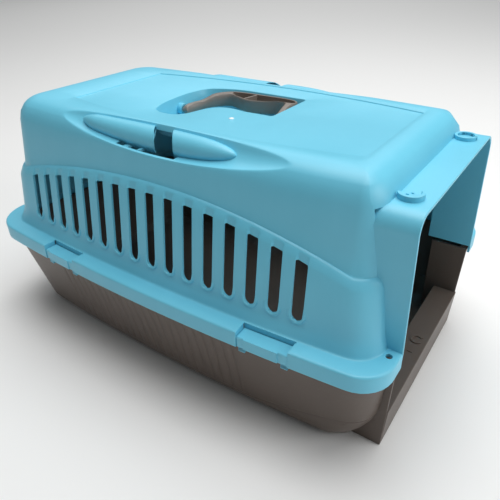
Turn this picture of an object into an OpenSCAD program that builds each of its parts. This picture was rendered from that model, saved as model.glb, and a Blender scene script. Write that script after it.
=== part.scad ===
// Plastic pet keeper: a ribbed tub, a vented upper shell that sits on it, four rim clips
// that hook the two together, and a carry handle that folds into the roof.
// +X is the doorway end, -Y the near side, and the floor it stands on is z = 0.

/* [Overall] */
// Length from the rear rim to the front rim
body_l = 490; // [440:5:540]
// Width over the rims at mid-length
rim_w = 312; // [290:2:340]
// How far each long side draws in towards its ends
side_bow = 12; // [6:1:18]
// Height of the roof
roof_z = 250; // [240:1:270]
// Thickness of the moulded walls
wall = 2.4; // [2:0.1:3]

/* [Rim] */
// Height of the rim's top face
rim_z = 113; // [108:1:118]
// Height of the rim's outer skirt
skirt_h = 16; // [14:0.5:20]
// Width of the rim's flat top
rim_flat = 14; // [13:0.5:17]
// Plan radius of the rim's rear corners
rim_r_rear = 45; // [35:1:60]
// Plan radius of the rim's front corners
rim_r_front = 30; // [24:1:36]
// Radius of the round holes in the rim's front corners
corner_hole_r = 2.8; // [2:0.2:3.4]
// Distance of those holes from the front rim and from the frame
corner_hole_in = 8; // [7:0.5:9]

/* [Upper shell] */
// Inward lean of the shell's walls, as a share of the height
shell_lean = 0.133; // [0.1:0.01:0.16]
// Width of the hollow fillet where the shell rises from the rim
foot_r = 6.3; // [4:0.1:8]
// Height of that fillet
foot_h = 14; // [10:1:16]
// Height of the crest of the arched ledge
ledge_z = 207; // [198:1:212]
// Where the crest lies along the body
ledge_x = 13; // [-20:1:40]
// How far the ledge falls towards its ends
ledge_drop = 31; // [15:1:40]
// Step inward from the ledge to the roof part
ledge_step = 6; // [4:0.5:9]
// Radius of the roof's shoulders
shoulder_r = 25; // [20:1:28]
// Plan radius of the shell's rear corners
shell_r_rear = 38; // [30:1:44]
// Plan radius of the shell's front corners
shell_r_front = 26; // [20:1:28]
// Setback of the roof's rear wall from the rear rim
roof_rear = 24; // [20:1:30]
// Setback of the roof's front wall from the front rim, at the shoulder
roof_front = 31; // [28:1:36]
// Depth of the sunk panel in the roof
panel_d = 1.2; // [0.6:0.1:1.8]
// Half width of the sunk panel at mid-length
panel_w = 82; // [76:1:86]
// Rear end of the sunk panel
panel_x0 = -150; // [-170:1:-120]
// Front end of the sunk panel
panel_x1 = 186; // [150:1:188]

/* [Vent slots] */
// Number of slots in each long side
slots = 16; // [10:1:16]
// Width of a slot
slot_w = 11; // [7:0.5:13]
// Spacing of the slots
slot_pitch = 22.2; // [20:0.1:22.4]
// Where the rearmost slot lies along the body
slot_x0 = -169; // [-175:1:-160]
// Height of the lower end of the slots
slot_z = 127; // [126:1:140]
// Solid wall left between the slots and the ledge
slot_top_gap = 9; // [7:0.5:14]

/* [Finger scoops] */
// Half length of a scoop
scoop_l = 133; // [115:1:145]
// Where the middle of the scoops lies along the body
scoop_x = 8; // [0:1:16]
// Radius of the hollow at the middle of its length
scoop_r = 26.5; // [24:0.5:29]
// Radius of the hollow at its two ends
scoop_end_r = 14; // [12:0.5:16]
// Distance of the hollow's axis outside the roof's flat top
scoop_out = 22; // [18:0.5:24]
// Height of the hollow's axis above the roof
scoop_up = 7.5; // [4:0.5:10]
// Radius of the rolled bars in the scoop
bar_r = 12; // [10:0.5:12.5]
// Half length over both rolled bars
bar_l = 97; // [70:1:110]
// Where the middle of the bars lies along the body
bar_x = 6; // [0:1:12]
// Distance of the bars' axis outside the roof's flat top
bar_out = 4.5; // [2:0.5:5]
// Depth of the bars' axis below the roof
bar_drop = 13.5; // [12:0.5:15]
// Gap between the two rolled bars
bar_gap = 19; // [12:1:26]
// Where the slot through the wall under the bars begins
reach_x = -45; // [-60:1:-30]
// Length of that slot
reach_l = 75; // [50:1:85]
// Width of that slot
reach_w = 6.5; // [5:0.5:8]

/* [Front frame] */
// Width of the frame round the doorway
frame_w = 206; // [190:1:212]
// Height of the top of the frame
frame_z = 230; // [222:1:234]
// Radius of the frame's upper corners
frame_r = 15; // [10:1:20]
// Thickness of the frame
frame_t = 2.6; // [2:0.1:3.2]
// How far the frame reaches back into the body
frame_d = 45; // [40:1:50]
// How far the frame's front edge rakes back from the rim to the top
frame_rake = 2.5; // [0:0.5:5]
// Spacing of the two ring bosses on top of the frame
ring_spacing = 146; // [120:1:160]
// Distance of the ring bosses from the front rim
ring_back = 20.5; // [18:0.5:24]
// Outer radius of a ring boss
ring_r = 10; // [8:0.5:11]
// Radius of the hole in a ring boss
ring_hole_r = 4; // [3:0.25:5]
// Height of a ring boss
ring_h = 4; // [2:0.5:5]

/* [Tub] */
// Outward lean of the tub's walls, as a share of the height
tub_lean = 0.196; // [0.15:0.01:0.22]
// Distance from the rim's edge to the tub's side walls, at the flange
tub_side = 8; // [7:0.5:10]
// Radius of the tub's lower edge
tub_edge_r = 12; // [8:1:16]
// Distance from the rear rim to the tub's rear wall at the flange
tub_rear = 8; // [7:0.5:12]
// Distance from the front rim to the tub's front corners at the flange
tub_front = 7; // [6:0.5:10]
// Plan radius of the tub's rear corners
tub_r_rear = 40; // [30:1:50]
// Plan radius of the tub's front corners
tub_r_front = 30; // [24:1:36]
// Thickness of the flange that the clips hook under
flange_t = 3; // [2:0.25:4]
// Height of the sill of the doorway
sill_z = 43; // [35:1:55]
// Depth of the sill, front to back
sill_d = 29; // [26:1:34]
// How far the tub's front face rakes back from the flange to the floor
sill_rake = 7; // [4:1:9]
// Height of the doorway's jambs above the flange
jamb_up = 4; // [2:0.5:6]
// Radius of the latch hole in the sill
latch_hole_r = 3.5; // [2.5:0.25:4.5]
// Number of shallow upright grooves in each side wall
grooves = 22; // [1:1:24]
// Spacing of the grooves
groove_pitch = 11; // [8:0.5:12]
// Where the rearmost groove lies along the body
groove_x0 = -124; // [-150:1:-100]
// Width of a groove
groove_w = 1.6; // [1:0.2:3]
// Depth of a groove
groove_d = 0.6; // [0.3:0.1:1]
// Height of the grooves' lower ends
groove_z = 14; // [12:1:40]

/* [Rim clips] */
// Length of a clip
clip_l = 48; // [40:1:56]
// Where the rear clips lie along the body
clip_x_rear = -111; // [-125:1:-95]
// Where the front clips lie along the body
clip_x_front = 145; // [130:1:150]
// How far a clip's top lies below the rim
clip_drop = 5; // [4.5:0.25:6]
// Radius of a clip's hinge pins
clip_pin_r = 1.3; // [1:0.1:1.5]
// Depth of the hook under the tub's flange
hook_d = 4; // [3:0.25:5]
// How far the clip reaches below the skirt
hook_drop = 5.5; // [5:0.25:7]
// Thickness of the raised middle of a clip's face
pad_t = 0.9; // [0.5:0.1:1.2]
// Radius of the drain hole in a clip
drain_r = 1.5; // [1:0.1:2]

/* [Handle] */
// Length of the handle over its two arms
handle_l = 113; // [104:1:118]
// Reach of the folded handle from its pivots to the far edge of the grip
handle_w = 52; // [46:1:56]
// Where the middle of the handle lies along the body
handle_x = 6; // [0:1:12]
// Radius of the handle's pivot pins
pivot_r = 3; // [2.5:0.25:3.5]
// Height of the pivots below the roof
pivot_drop = 14; // [12:0.5:16]
// Where the pivots lie across the body
pivot_y = -3; // [-6:0.5:0]
// Depth of the grip's channel section
grip_h = 13.5; // [11:0.5:15]
// Thickness of the grip's walls
grip_wall = 2.2; // [1.8:0.1:2.6]
// Depth of the recess that takes the folded handle
recess_d = 24; // [22:0.5:30]
// Thickness of the bosses that carry the pivot pins
boss_t = 4; // [3:0.5:5]

/* [Fits] */
// Clearance round the handle's pins
pin_clear = 0.2; // [0.15:0.05:0.4]
// Clearance between parts that pass each other
part_clear = 0.3; // [0.2:0.05:0.5]

/* [Hidden] */

aqua = [0.45, 0.83, 0.93];
brown = [0.28, 0.23, 0.2];
taupe = [0.5, 0.46, 0.42];

steps = 10;          // points along each long side of an outline
arc = 6;             // points round each corner of an outline
past = 1;            // how far a cutter runs past the face it cuts
half_l = body_l / 2;
half_w = rim_w / 2;
skirt_z = rim_z - skirt_h;
under_z = rim_z - wall;
foot_w = half_w - rim_flat - foot_r;
pivot_z = roof_z - pivot_drop;
arm_left = handle_x - handle_l / 2;
arm_right = handle_x + handle_l / 2;
jamb_top = skirt_z + jamb_up;

// ---------- outlines and lofts ----------

// Half width of a bowed side of half width w at x
function side_y(w, x) = w - side_bow * pow(x / half_l, 2);
// Inward turn of a bowed side at x, in degrees
function side_turn(x) = atan(2 * side_bow * abs(x) / pow(half_l, 2));

// One corner of an outline, from the end towards the side: end at x_end, radius r, sign s
function corner(x_end, w, r, s) =
    let (
        turn = side_turn(x_end - s * r),
        x_side = x_end - s * r * (1 - sin(turn)),
        cx = x_end - s * r,
        cy = side_y(w, x_side) - r * cos(turn)
    )
    [for (k = [0 : arc - 1]) let (a = (90 - turn) * k / (arc - 1)) [cx + s * r * cos(a), cy + r * sin(a)]];

// Bowed rounded rectangle from x0 to x1, half width w, rear and front corner radii, run anticlockwise
function outline(x0, x1, w, r_rear, r_front) =
    let (
        front = corner(x1, w, r_front, 1),
        rear = corner(x0, w, r_rear, -1),
        xf = front[arc - 1][0],
        xr = rear[arc - 1][0],
        side = [for (k = [1 : steps - 1]) let (x = xf + (xr - xf) * k / steps) [x, side_y(w, x)]],
        upper = concat(front, side, [for (k = [arc - 1 : -1 : 0]) rear[k]]),
        n = len(upper)
    )
    concat(upper, [for (k = [n - 1 : -1 : 0]) [upper[k][0], -upper[k][1]]]);

// Solid through a stack of sections, each [height, outline], lowest first
module loft(sections) {
    n = len(sections[0][1]);
    top = len(sections) - 1;
    polyhedron(
        [for (s = sections) for (p = s[1]) [p[0], p[1], s[0]]],
        concat(
            [[for (i = [0 : n - 1]) i]],
            [for (k = [0 : top - 1]) for (i = [0 : n - 1])
                let (a = k * n + i, b = k * n + (i + 1) % n)
                each [[a, a + n, b + n], [a, b + n, b]]],
            [[for (i = [n - 1 : -1 : 0]) top * n + i]]
        )
    );
}

// Smooth open curve through the points p, n pieces between neighbours
function spline(p, n) = concat(
    [for (i = [0 : len(p) - 2]) for (k = [0 : n - 1])
        let (
            t = k / n,
            a = p[max(i - 1, 0)],
            b = p[i],
            c = p[i + 1],
            d = p[min(i + 2, len(p) - 1)]
        )
        0.5 * (2 * b + (c - a) * t + (2 * a - 5 * b + 4 * c - d) * t * t
            + (3 * b - a - 3 * c + d) * t * t * t)],
    [p[len(p) - 1]]
);

// Profile in the YZ plane run along X from x0 to x1
module along_x(x0, x1) {
    translate([x0, 0, 0]) rotate([90, 0, 90]) linear_extrude(x1 - x0) children();
}

// Profile in the XZ plane run along Y from -w to w
module along_y(w) {
    translate([0, w, 0]) rotate([90, 0, 0]) linear_extrude(2 * w) children();
}

// One seamless moulding at its own size
module moulding() {
    resize([0, 0, 0]) children();
}

// ---------- upper shell ----------

// Height of the ledge at x
function ledge_at(x) = ledge_z - ledge_drop * pow((x - ledge_x) / (half_l - roof_front), 2);
// Width of the foot fillet left at height z
function foot(z) = foot_r * pow(max(0, 1 - (z - rim_z) / foot_h), 2);

// Section of the part below the ledge at height z, inset by t
function belly(z, t) =
    let (up = z - rim_z)
    [z, outline(
        -(half_l - rim_flat - 2) + shell_lean * up / 3 - foot(z) / 2 + t,
        half_l - rim_flat - 0.8 * shell_lean * up + foot(z) / 3 - t,
        foot_w - shell_lean * up + foot(z) - t,
        shell_r_rear - t, shell_r_front - t
    )];

// Section of the roof part at height z, drawn in by d round the shoulder and inset by t
function roof(z, d, t) =
    let (wall_top = roof_z - shoulder_r, up = min(z, wall_top) - wall_top)
    [z, outline(
        -(half_l - roof_rear) + shell_lean * up / 3 + d + t,
        half_l - roof_front - shell_lean * up - d - t,
        foot_w - ledge_step - shell_lean * (min(z, wall_top) - rim_z) - d - t,
        max(shell_r_rear - d - t, 4), max(shell_r_front - d - t, 2)
    )];

// The part below the arched ledge, solid, inset by t
module belly_form(t, z0) {
    n = 12;
    intersection() {
        loft(concat(
            [[z0, belly(rim_z, t)[1]]],
            [for (k = [0 : 5]) belly(rim_z + foot_h * k / 5 + (k == 0 ? 0.01 : 0), t)],
            [belly(ledge_z + past, t)]
        ));
        along_y(half_w) polygon(concat(
            [[half_l, 0]],
            [for (k = [n : -1 : -n]) let (x = half_l * k / n) [x, ledge_at(x) - t]],
            [[-half_l, 0]]
        ));
    }
}

// The roof part, solid, inset by t
module roof_form(t) {
    r = shoulder_r - t;
    loft(concat(
        [roof(rim_z + foot_h, 0, t)],
        [for (a = [0 : 15 : 90]) let (d = r * (1 - cos(a))) roof(roof_z - t - r + r * sin(a), d, t)]
    ));
}

// Rim section, inset by t, between two heights
module rim_form(t, z0, z1, edge) {
    loft([
        [z0, outline(-half_l + t, half_l - t, half_w - t, rim_r_rear - t, rim_r_front - t)],
        [z1 - edge, outline(-half_l + t, half_l - t, half_w - t, rim_r_rear - t, rim_r_front - t)],
        [z1 - 0.3 * edge, outline(-half_l + t + 0.3 * edge, half_l - t - 0.3 * edge, half_w - t - 0.3 * edge,
            rim_r_rear - t, rim_r_front - t)],
        [z1, outline(-half_l + t + edge, half_l - t - edge, half_w - t - edge,
            rim_r_rear - t, rim_r_front - t)]
    ]);
}

// Upright opening of the doorway, grown by t
module doorway_profile(t) {
    w = frame_w / 2 - frame_t + t;
    top = frame_z - frame_t + t;
    r = frame_r - frame_t + t;
    union() {
        translate([-w, 0]) square([2 * w, top - r]);
        translate([-w + r, 0]) square([2 * (w - r), top]);
        for (s = [-1, 1]) translate([s * (w - r), top - r]) circle(r, $fn = 32);
    }
}

// The frame round the doorway, solid, from its raked front edge back into the body
module frame_block(z0) {
    intersection() {
        along_x(half_l - frame_d, half_l + past) doorway_profile(frame_t);
        along_y(half_w) polygon([
            [half_l - frame_d, z0], [half_l, z0],
            [half_l, rim_z], [half_l - frame_rake, frame_z + past], [half_l - frame_d, frame_z + past]
        ]);
    }
}

// Vent slot outline at x: round lower end, square top
module slot_profile(x) {
    translate([x, slot_z + slot_w / 2]) circle(d = slot_w, $fn = 16);
    translate([x - slot_w / 2, slot_z + slot_w / 2])
        square([slot_w, ledge_at(x) - slot_top_gap - slot_z - slot_w / 2]);
}

// Distance of the shoulder's centre from the middle plane at x
function shoulder_y(x) =
    side_y(foot_w - ledge_step - shell_lean * (roof_z - shoulder_r - rim_z), x) - shoulder_r;

// Round section of radius r about [y, z]
function ring(y, z, r, n) = [for (k = [0 : n - 1]) [y + r * cos(360 * k / n), z + r * sin(360 * k / n)]];

// Loft along X through sections [x, outline in YZ], on the side s
module run_x(sections, s) {
    mirror([0, s < 0 ? 1 : 0, 0]) rotate([90, 0, 90]) loft(sections);
}

// Lens-shaped hollow that takes the fingers, grown by t
module scoop_hollow(s, t) {
    n = 8;
    run_x([for (k = [-n : n]) let (x = scoop_x + (scoop_l + t) * k / n)
        [x, ring(shoulder_y(x) + scoop_out, roof_z + scoop_up,
            scoop_end_r + t + (scoop_r - scoop_end_r) * (1 - pow(k / n, 2)), 30)]], s);
}

// The rolled bar that spans the hollow, in two halves with a gap between them
module rolled_bars(s) {
    n = 7;
    difference() {
        run_x([for (k = [-n : n]) let (u = sin(88 * k / n), x = bar_x + bar_l * u)
            [x, ring(shoulder_y(x) + bar_out, roof_z - bar_drop, bar_r * sqrt(1 - u * u), 20)]], s);
        translate([bar_x - bar_gap / 2, -half_w, roof_z - 2 * bar_drop]) cube([bar_gap, rim_w, 2 * bar_drop]);
    }
}

// Slot through the wall below the bars, for the fingers
module reach_slot(s) {
    y = shoulder_y(reach_x) + shoulder_r - wall;
    translate([reach_x, s * (y - reach_w / 2) - reach_w / 2, roof_z - 1.4 * shoulder_r])
        cube([reach_l, reach_w, shoulder_r]);
}

// Points given in shares of the handle's length and reach, placed on the roof
function on_handle(p) = [for (q = p) [handle_x + handle_l * q[0], pivot_y + handle_w * q[1]]];

// The opening for the folded handle, seen from above: its rear end, then its wavy near side
recess_rear = [[-0.1, 1.08], [-0.28, 1.02], [-0.485, 0.81], [-0.55, 0.46], [-0.56, 0.06], [-0.53, -0.52],
    [-0.46, -0.9]];
recess_near = [[-0.37, -1], [-0.23, -1], [-0.14, -0.83], [-0.095, -0.48], [-0.025, -0.23], [0.1, -0.135],
    [0.25, -0.175], [0.38, -0.175]];
recess_edge = concat(
    on_handle([[0.54, 1.08], [-0.02, 1.08]]),
    spline(on_handle(recess_rear), 3),
    spline(on_handle(recess_near), 3),
    on_handle([[0.515, -0.155], [0.54, -0.115]])
);

// Shallow sunk field in the middle of the roof
module sunk_panel() {
    w = panel_w;
    x_mid = (panel_x0 + panel_x1) / 2;
    half = (panel_x1 - panel_x0) / 2;
    curve = [for (k = [-8 : 8]) [x_mid + half * k / 8, w - 1.4 * side_bow * pow(k / 8, 2)]];
    translate([0, 0, roof_z - panel_d]) linear_extrude(panel_d + past)
        polygon(concat(curve, [for (k = [16 : -1 : 0]) [curve[k][0], -curve[k][1]]]));
}

// Place a part at the rim's outer edge at x, on the side s, with Y pointing outward
module at_rim(x, s) {
    mirror([0, s < 0 ? 1 : 0, 0])
        translate([x, side_y(half_w, x), 0]) rotate([0, 0, -sign(x) * side_turn(x)]) children();
}

clip_axis_y = -rim_flat + 3;
clip_axis_z = rim_z - clip_drop - 1.8;
barrel_r = clip_pin_r + 0.9;
ear_t = 3;           // thickness of the ears that carry a clip's pins
pocket_y = clip_axis_y - barrel_r - part_clear;
lip_low = clip_axis_z - clip_pin_r - 1.4;

// Room for a clip in the rim, and the pocket with its two end ears
module clip_room() {
    translate([-clip_l / 2 - part_clear, pocket_y, skirt_z - past])
        cube([clip_l + 2 * part_clear, -pocket_y + 3 * past, skirt_h + 2 * past]);
}
module clip_ears() {
    w = clip_l / 2 + part_clear;
    for (s = [-1, 1]) translate([s * (w + ear_t / 2) - ear_t / 2, -rim_flat, lip_low])
        cube([ear_t, rim_flat - wall / 2, under_z - lip_low + wall / 2]);
    translate([-w - ear_t, pocket_y - wall, lip_low])
        cube([2 * (w + ear_t), wall, under_z - lip_low + wall / 2]);
}
module clip_pin(r, l) {
    translate([-l / 2, clip_axis_y, clip_axis_z]) rotate([0, 90, 0]) cylinder(r = r, h = l, $fn = 32);
}

module at_clips() {
    for (x = [clip_x_rear, clip_x_front]) for (s = [-1, 1]) at_rim(x, s) children();
}

// The shell's walls with every opening, before bars, ears and bosses are added
module shell_skin() {
    difference() {
        union() {
            rim_form(0, skirt_z, rim_z, 1.6);
            belly_form(0, rim_z - wall);
            roof_form(0);
            frame_block((skirt_z + rim_z) / 2);
        }
        rim_form(wall, skirt_z - past, under_z, 0.4);
        belly_form(wall, under_z - past);
        difference() {
            roof_form(wall);
            for (s = [-1, 1]) scoop_hollow(s, wall);
            translate([0, 0, roof_z - recess_d - wall]) linear_extrude(recess_d + wall) offset(delta = wall)
                polygon(recess_edge);
        }
        for (s = [-1, 1]) scoop_hollow(s, 0);
        for (s = [-1, 1]) reach_slot(s);
        along_x(half_l - frame_d, half_l + past) doorway_profile(0);
        along_y(half_w) for (k = [0 : slots - 1]) slot_profile(slot_x0 + k * slot_pitch);
        translate([0, 0, roof_z - recess_d]) linear_extrude(recess_d + past) polygon(recess_edge);
        sunk_panel();
        at_clips() clip_room();
    }
}

module upper_shell() {
    color(aqua) difference() {
        union() {
            moulding() union() {
                shell_skin();
                for (s = [-1, 1]) rolled_bars(s);
                at_clips() clip_ears();
                handle_bosses();
                ring_bosses();
            }
        }
        at_clips() clip_pin(clip_pin_r + pin_clear, clip_l + 2 * ear_t + 2);
        for (x = [arm_left - pivot_l, arm_right]) translate([x, pivot_y, pivot_z])
            rotate([0, 90, 0]) cylinder(r = pivot_r + pin_clear, h = pivot_l, $fn = 48);
        for (s = [-1, 1]) {
            translate([ring_x, s * ring_spacing / 2, frame_z - 2 * frame_t])
                cylinder(r = ring_hole_r, h = 2 * frame_t + ring_h + past, $fn = 48);
            translate([half_l - corner_hole_in, s * (frame_w / 2 + corner_hole_in), under_z - past])
                cylinder(r = corner_hole_r, h = wall + 2 * past, $fn = 32);
        }
    }
}

// Round bosses on the recess's end walls that carry the handle's pins
module handle_bosses() {
    for (e = [[arm_left - part_clear - boss_t - 3, boss_t + 3], [arm_right + part_clear, boss_t + 1]])
        translate([e[0], pivot_y, pivot_z]) rotate([0, 90, 0]) cylinder(r = pivot_r + 3, h = e[1], $fn = 32);
}

// C-shaped ring bosses on top of the frame
ring_x = half_l - ring_back;
module ring_bosses() {
    for (s = [-1, 1]) translate([ring_x, s * ring_spacing / 2, frame_z - frame_t / 2]) difference() {
        cylinder(r = ring_r, h = ring_h + frame_t / 2, $fn = 40);
        translate([0, 0, frame_t / 2 + 1]) cylinder(r = ring_r - 2.4, h = ring_h, $fn = 40);
        translate([-ring_r, -2, frame_t / 2 + 1]) cube([ring_r, 4, ring_h]);
    }
}

// ---------- tub ----------

// Section of the tub at height z, inset by t, with its lower edge of radius r rounded
function tub_section(z, t, r) =
    let (
        z0 = t,
        up = min(1, (z - z0) / r),
        d = r * (1 - sqrt(1 - pow(1 - up, 2))),
        lean = tub_lean * (skirt_z - z)
    )
    [z, outline(
        -(half_l - tub_rear) + lean + d + t,
        half_l - tub_front - 0.5 * lean - 1.4 * d - t,
        half_w - tub_side - lean - d - t,
        tub_r_rear - t, tub_r_front - t
    )];

module tub_form(t) {
    r = tub_edge_r - t;
    loft(concat(
        [for (k = [0 : 5]) tub_section(t + r * (1 - cos(k * 18)), t, r)],
        [tub_section(skirt_z, t, r)],
        [[under_z + (t > 0 ? past : 0), tub_section(skirt_z, t, r)[1]]]
    ));
}

// Shallow upright groove down the tub's wall at x, on the side s
module tub_groove(x, s) {
    mirror([0, s < 0 ? 1 : 0, 0]) translate([x, side_y(half_w - tub_side, x), skirt_z])
        rotate([-atan(tub_lean), 0, -side_turn(x) * sign(x)])
        translate([-groove_w / 2, -groove_d, groove_z - skirt_z])
        cube([groove_w, 2 * groove_d, skirt_z - groove_z - groove_d]);
}

// The block under the doorway with its two jambs, raked at the front
module tub_front_block() {
    intersection() {
        translate([half_l - frame_d, -frame_w / 2, 0]) cube([frame_d, frame_w, jamb_top]);
        along_y(half_w) polygon([[0, 0], [half_l - sill_rake, 0], [half_l, jamb_top], [0, jamb_top]]);
    }
}

// The hollow under the sill, open to the floor
module sill_hollow() {
    x0 = half_l - sill_d + wall;
    x1 = half_l - sill_rake - wall;
    top = sill_z - wall;
    along_y(frame_w / 2 - frame_t)
        polygon([[x0, -past], [x1, -past], [x1 + sill_rake * top / jamb_top, top], [x0, top]]);
}

module tub() {
    door_w = frame_w - 2 * frame_t;
    clip_gap = clip_l / 2 + ear_t + 2 * part_clear;
    color(brown) difference() {
        moulding() difference() {
            union() {
                tub_form(0);
                rim_form(wall + 2 * part_clear, skirt_z, skirt_z + flange_t, 0.3);
                tub_front_block();
            }
            difference() {
                tub_form(wall);
                translate([half_l - sill_d, -half_w, -past]) cube([sill_d, rim_w, sill_z + past]);
            }
            sill_hollow();
            translate([half_l - frame_d, -door_w / 2, sill_z]) cube([frame_d + past, door_w, rim_z]);
            at_clips() translate([-clip_gap, -rim_flat - wall - ear_t / 2, lip_low])
                cube([2 * clip_gap, rim_flat + wall + ear_t, skirt_h]);
            translate([half_l - frame_d, -frame_w / 2 - part_clear, jamb_top])
                cube([frame_d + past, frame_w + 2 * part_clear, skirt_h]);
            translate([half_l - wall - part_clear, -half_w, skirt_z])
                cube([wall + part_clear + past, rim_w, skirt_h]);
            for (s = [-1, 1]) for (k = [0 : grooves - 1]) tub_groove(groove_x0 + k * groove_pitch, s);
        }
        translate([half_l - sill_d / 2, 0, sill_z - wall - past])
            cylinder(r = latch_hole_r, h = wall + 2 * past, $fn = 32);
    }
}

// ---------- rim clips ----------

// A clip lying in the rim, its length along X and its face outward along Y
module clip() {
    top = rim_z - clip_drop;
    low = skirt_z - hook_drop;
    pad_from = clip_l / 7;
    pad_l = clip_l * 2 / 3;
    translate([-clip_l / 2, 0, 0]) difference() {
        union() {
            rotate([90, 0, 90]) linear_extrude(clip_l) difference() {
                polygon([
                    [clip_axis_y, top], [0, top], [0, low],
                    [-wall - hook_d, low], [-wall - hook_d, skirt_z], [-wall, skirt_z],
                    [-wall, top - wall], [clip_axis_y, top - wall]
                ]);
                translate([clip_axis_y, clip_axis_z]) intersection() {
                    circle(hook_free_r, $fn = 96);
                    translate([0, -2 * hook_free_r]) square([-wall - clip_axis_y, 2 * hook_free_r]);
                }
            }
            translate([pad_from, 0, low]) cube([pad_l, pad_t, top - low - 1]);
            translate([0, clip_axis_y, clip_axis_z]) rotate([0, 90, 0])
                cylinder(r = barrel_r, h = clip_l, $fn = 40);
        }
        translate([3 * drain_r, clip_axis_y + 3 * drain_r, top - wall - past])
            cylinder(r = drain_r, h = wall + 2 * past, $fn = 24);
    }
    clip_pin(clip_pin_r, clip_l + 2 * part_clear + 2 * ear_t - 1);
}
// The hook's inner face follows this radius about the pins, so that it swings clear of the flange
hook_free_r = norm([-wall - 2 * part_clear - clip_axis_y, skirt_z - clip_axis_z]) + part_clear;

module clip_rear_right() { color(aqua) at_rim(clip_x_rear, -1) clip(); }
module clip_rear_left() { color(aqua) at_rim(clip_x_rear, 1) clip(); }
module clip_front_right() { color(aqua) at_rim(clip_x_front, -1) clip(); }
module clip_front_left() { color(aqua) at_rim(clip_x_front, 1) clip(); }

// ---------- carry handle ----------

// Far and near edges of the folded handle, seen from above, from the left pivot to the right one
far_edge = spline(on_handle([
    [-0.494, -0.1], [-0.494, 0.12], [-0.425, 0.42], [-0.31, 0.81], [-0.18, 0.96], [0.16, 1], [0.39, 0.99],
    [0.49, 0.885], [0.5, 0.63], [0.5, -0.1]
]), 4);
near_edge = spline(on_handle([
    [-0.43, -0.1], [-0.42, 0.1], [-0.355, 0.33], [-0.23, 0.65], [-0.125, 0.635], [0.053, 0.5], [0.21, 0.58],
    [0.335, 0.73], [0.415, 0.635], [0.43, -0.1]
]), 4);

// The outline between the two edges from pair i0 to pair i1, drawn in by t on both sides
function band(t, i0, i1) =
    let (
        across = [for (i = [i0 : i1]) near_edge[i] - far_edge[i]],
        far = [for (k = [0 : i1 - i0]) far_edge[i0 + k] + across[k] * t / norm(across[k])],
        near = [for (k = [i1 - i0 : -1 : 0]) near_edge[i0 + k] - across[k] * t / norm(across[k])]
    )
    concat(near, far);

handle_top = roof_z - panel_d - 1.1;
eye_r = pivot_r + 2;
pivot_l = boss_t + wall + 4;
rib_at = 23;         // the cross rib stands between this pair of edge points and the next

module carry_handle() {
    color(taupe) union() {
        difference() {
            intersection() {
                translate([0, 0, pivot_z - eye_r]) linear_extrude(roof_z - pivot_z + eye_r)
                    polygon(band(0, 0, len(far_edge) - 1));
                along_x(arm_left - past, arm_right + past) side_profile();
            }
            for (run = [[15, rib_at], [rib_at + 1, 30]])
                translate([0, 0, handle_top - grip_h + grip_wall]) linear_extrude(grip_h)
                    polygon(band(grip_wall, run[0], run[1]));
        }
        for (x = [arm_left - boss_t - wall, arm_right - 4]) translate([x, pivot_y, pivot_z])
            rotate([0, 90, 0]) cylinder(r = pivot_r, h = pivot_l, $fn = 48);
    }
}

// Side profile of the folded handle: an eye round the pivot that deepens into the grip
module side_profile() {
    past_grip = pivot_y + 1.2 * handle_w;
    translate([pivot_y, pivot_z]) circle(r = eye_r, $fn = 48);
    polygon([
        [pivot_y, pivot_z - eye_r], [pivot_y, pivot_z + eye_r], [pivot_y + handle_w / 3, pivot_z + eye_r + 1],
        [pivot_y + 0.63 * handle_w, handle_top], [past_grip, handle_top],
        [past_grip, handle_top - grip_h], [pivot_y + handle_w / 2, handle_top - grip_h]
    ]);
}

upper_shell();
tub();
carry_handle();
clip_rear_right();
clip_rear_left();
clip_front_right();
clip_front_left();
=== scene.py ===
# %% [markdown]
# A moulded pet keeper, dressed for its picture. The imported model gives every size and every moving
# body, and this lesson makes the visible skins again as smooth meshes with rounded edges, because an
# injection moulding has no sharp corner anywhere and its edges are what catch the light.

import math

import bmesh
import bpy
from mathutils import Matrix, Vector


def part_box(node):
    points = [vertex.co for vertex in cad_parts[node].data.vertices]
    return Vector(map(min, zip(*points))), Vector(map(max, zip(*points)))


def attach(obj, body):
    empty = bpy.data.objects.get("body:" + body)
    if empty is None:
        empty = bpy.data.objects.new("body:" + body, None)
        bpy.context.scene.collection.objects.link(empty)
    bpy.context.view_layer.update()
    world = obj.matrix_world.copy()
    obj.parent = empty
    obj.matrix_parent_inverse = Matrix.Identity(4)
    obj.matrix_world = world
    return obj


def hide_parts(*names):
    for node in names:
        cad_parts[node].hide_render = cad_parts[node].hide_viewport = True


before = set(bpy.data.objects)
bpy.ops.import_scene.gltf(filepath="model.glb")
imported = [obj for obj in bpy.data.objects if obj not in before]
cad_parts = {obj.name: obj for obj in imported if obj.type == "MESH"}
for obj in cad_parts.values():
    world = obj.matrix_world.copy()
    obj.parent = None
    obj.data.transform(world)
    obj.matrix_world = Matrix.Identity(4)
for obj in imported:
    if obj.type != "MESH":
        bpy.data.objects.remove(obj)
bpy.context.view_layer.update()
MM = 0.001

# %% [markdown]
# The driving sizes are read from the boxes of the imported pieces, in millimetres, because a mould maker
# thinks in millimetres. The rest are named beside the piece that needs them. +X is the doorway end,
# -Y the near side, and the part stands on z = 0.

# %% Driving sizes
shell_low, shell_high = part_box("upper_shell")
HALF_L = round(shell_high.x / MM, 1)
HALF_W = round(shell_high.y / MM)
ROOF_Z = round(shell_high.z / MM, 1)
SKIRT_Z = round(shell_low.z / MM, 1)
WALL = 2.4
RIM_Z = SKIRT_Z + 16
RIM_FLAT = 14
SIDE_BOW = 12
LEAN = 0.133
print(f"half length {HALF_L}, half width {HALF_W}, roof {ROOF_Z}, rim {RIM_Z} mm")

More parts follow.
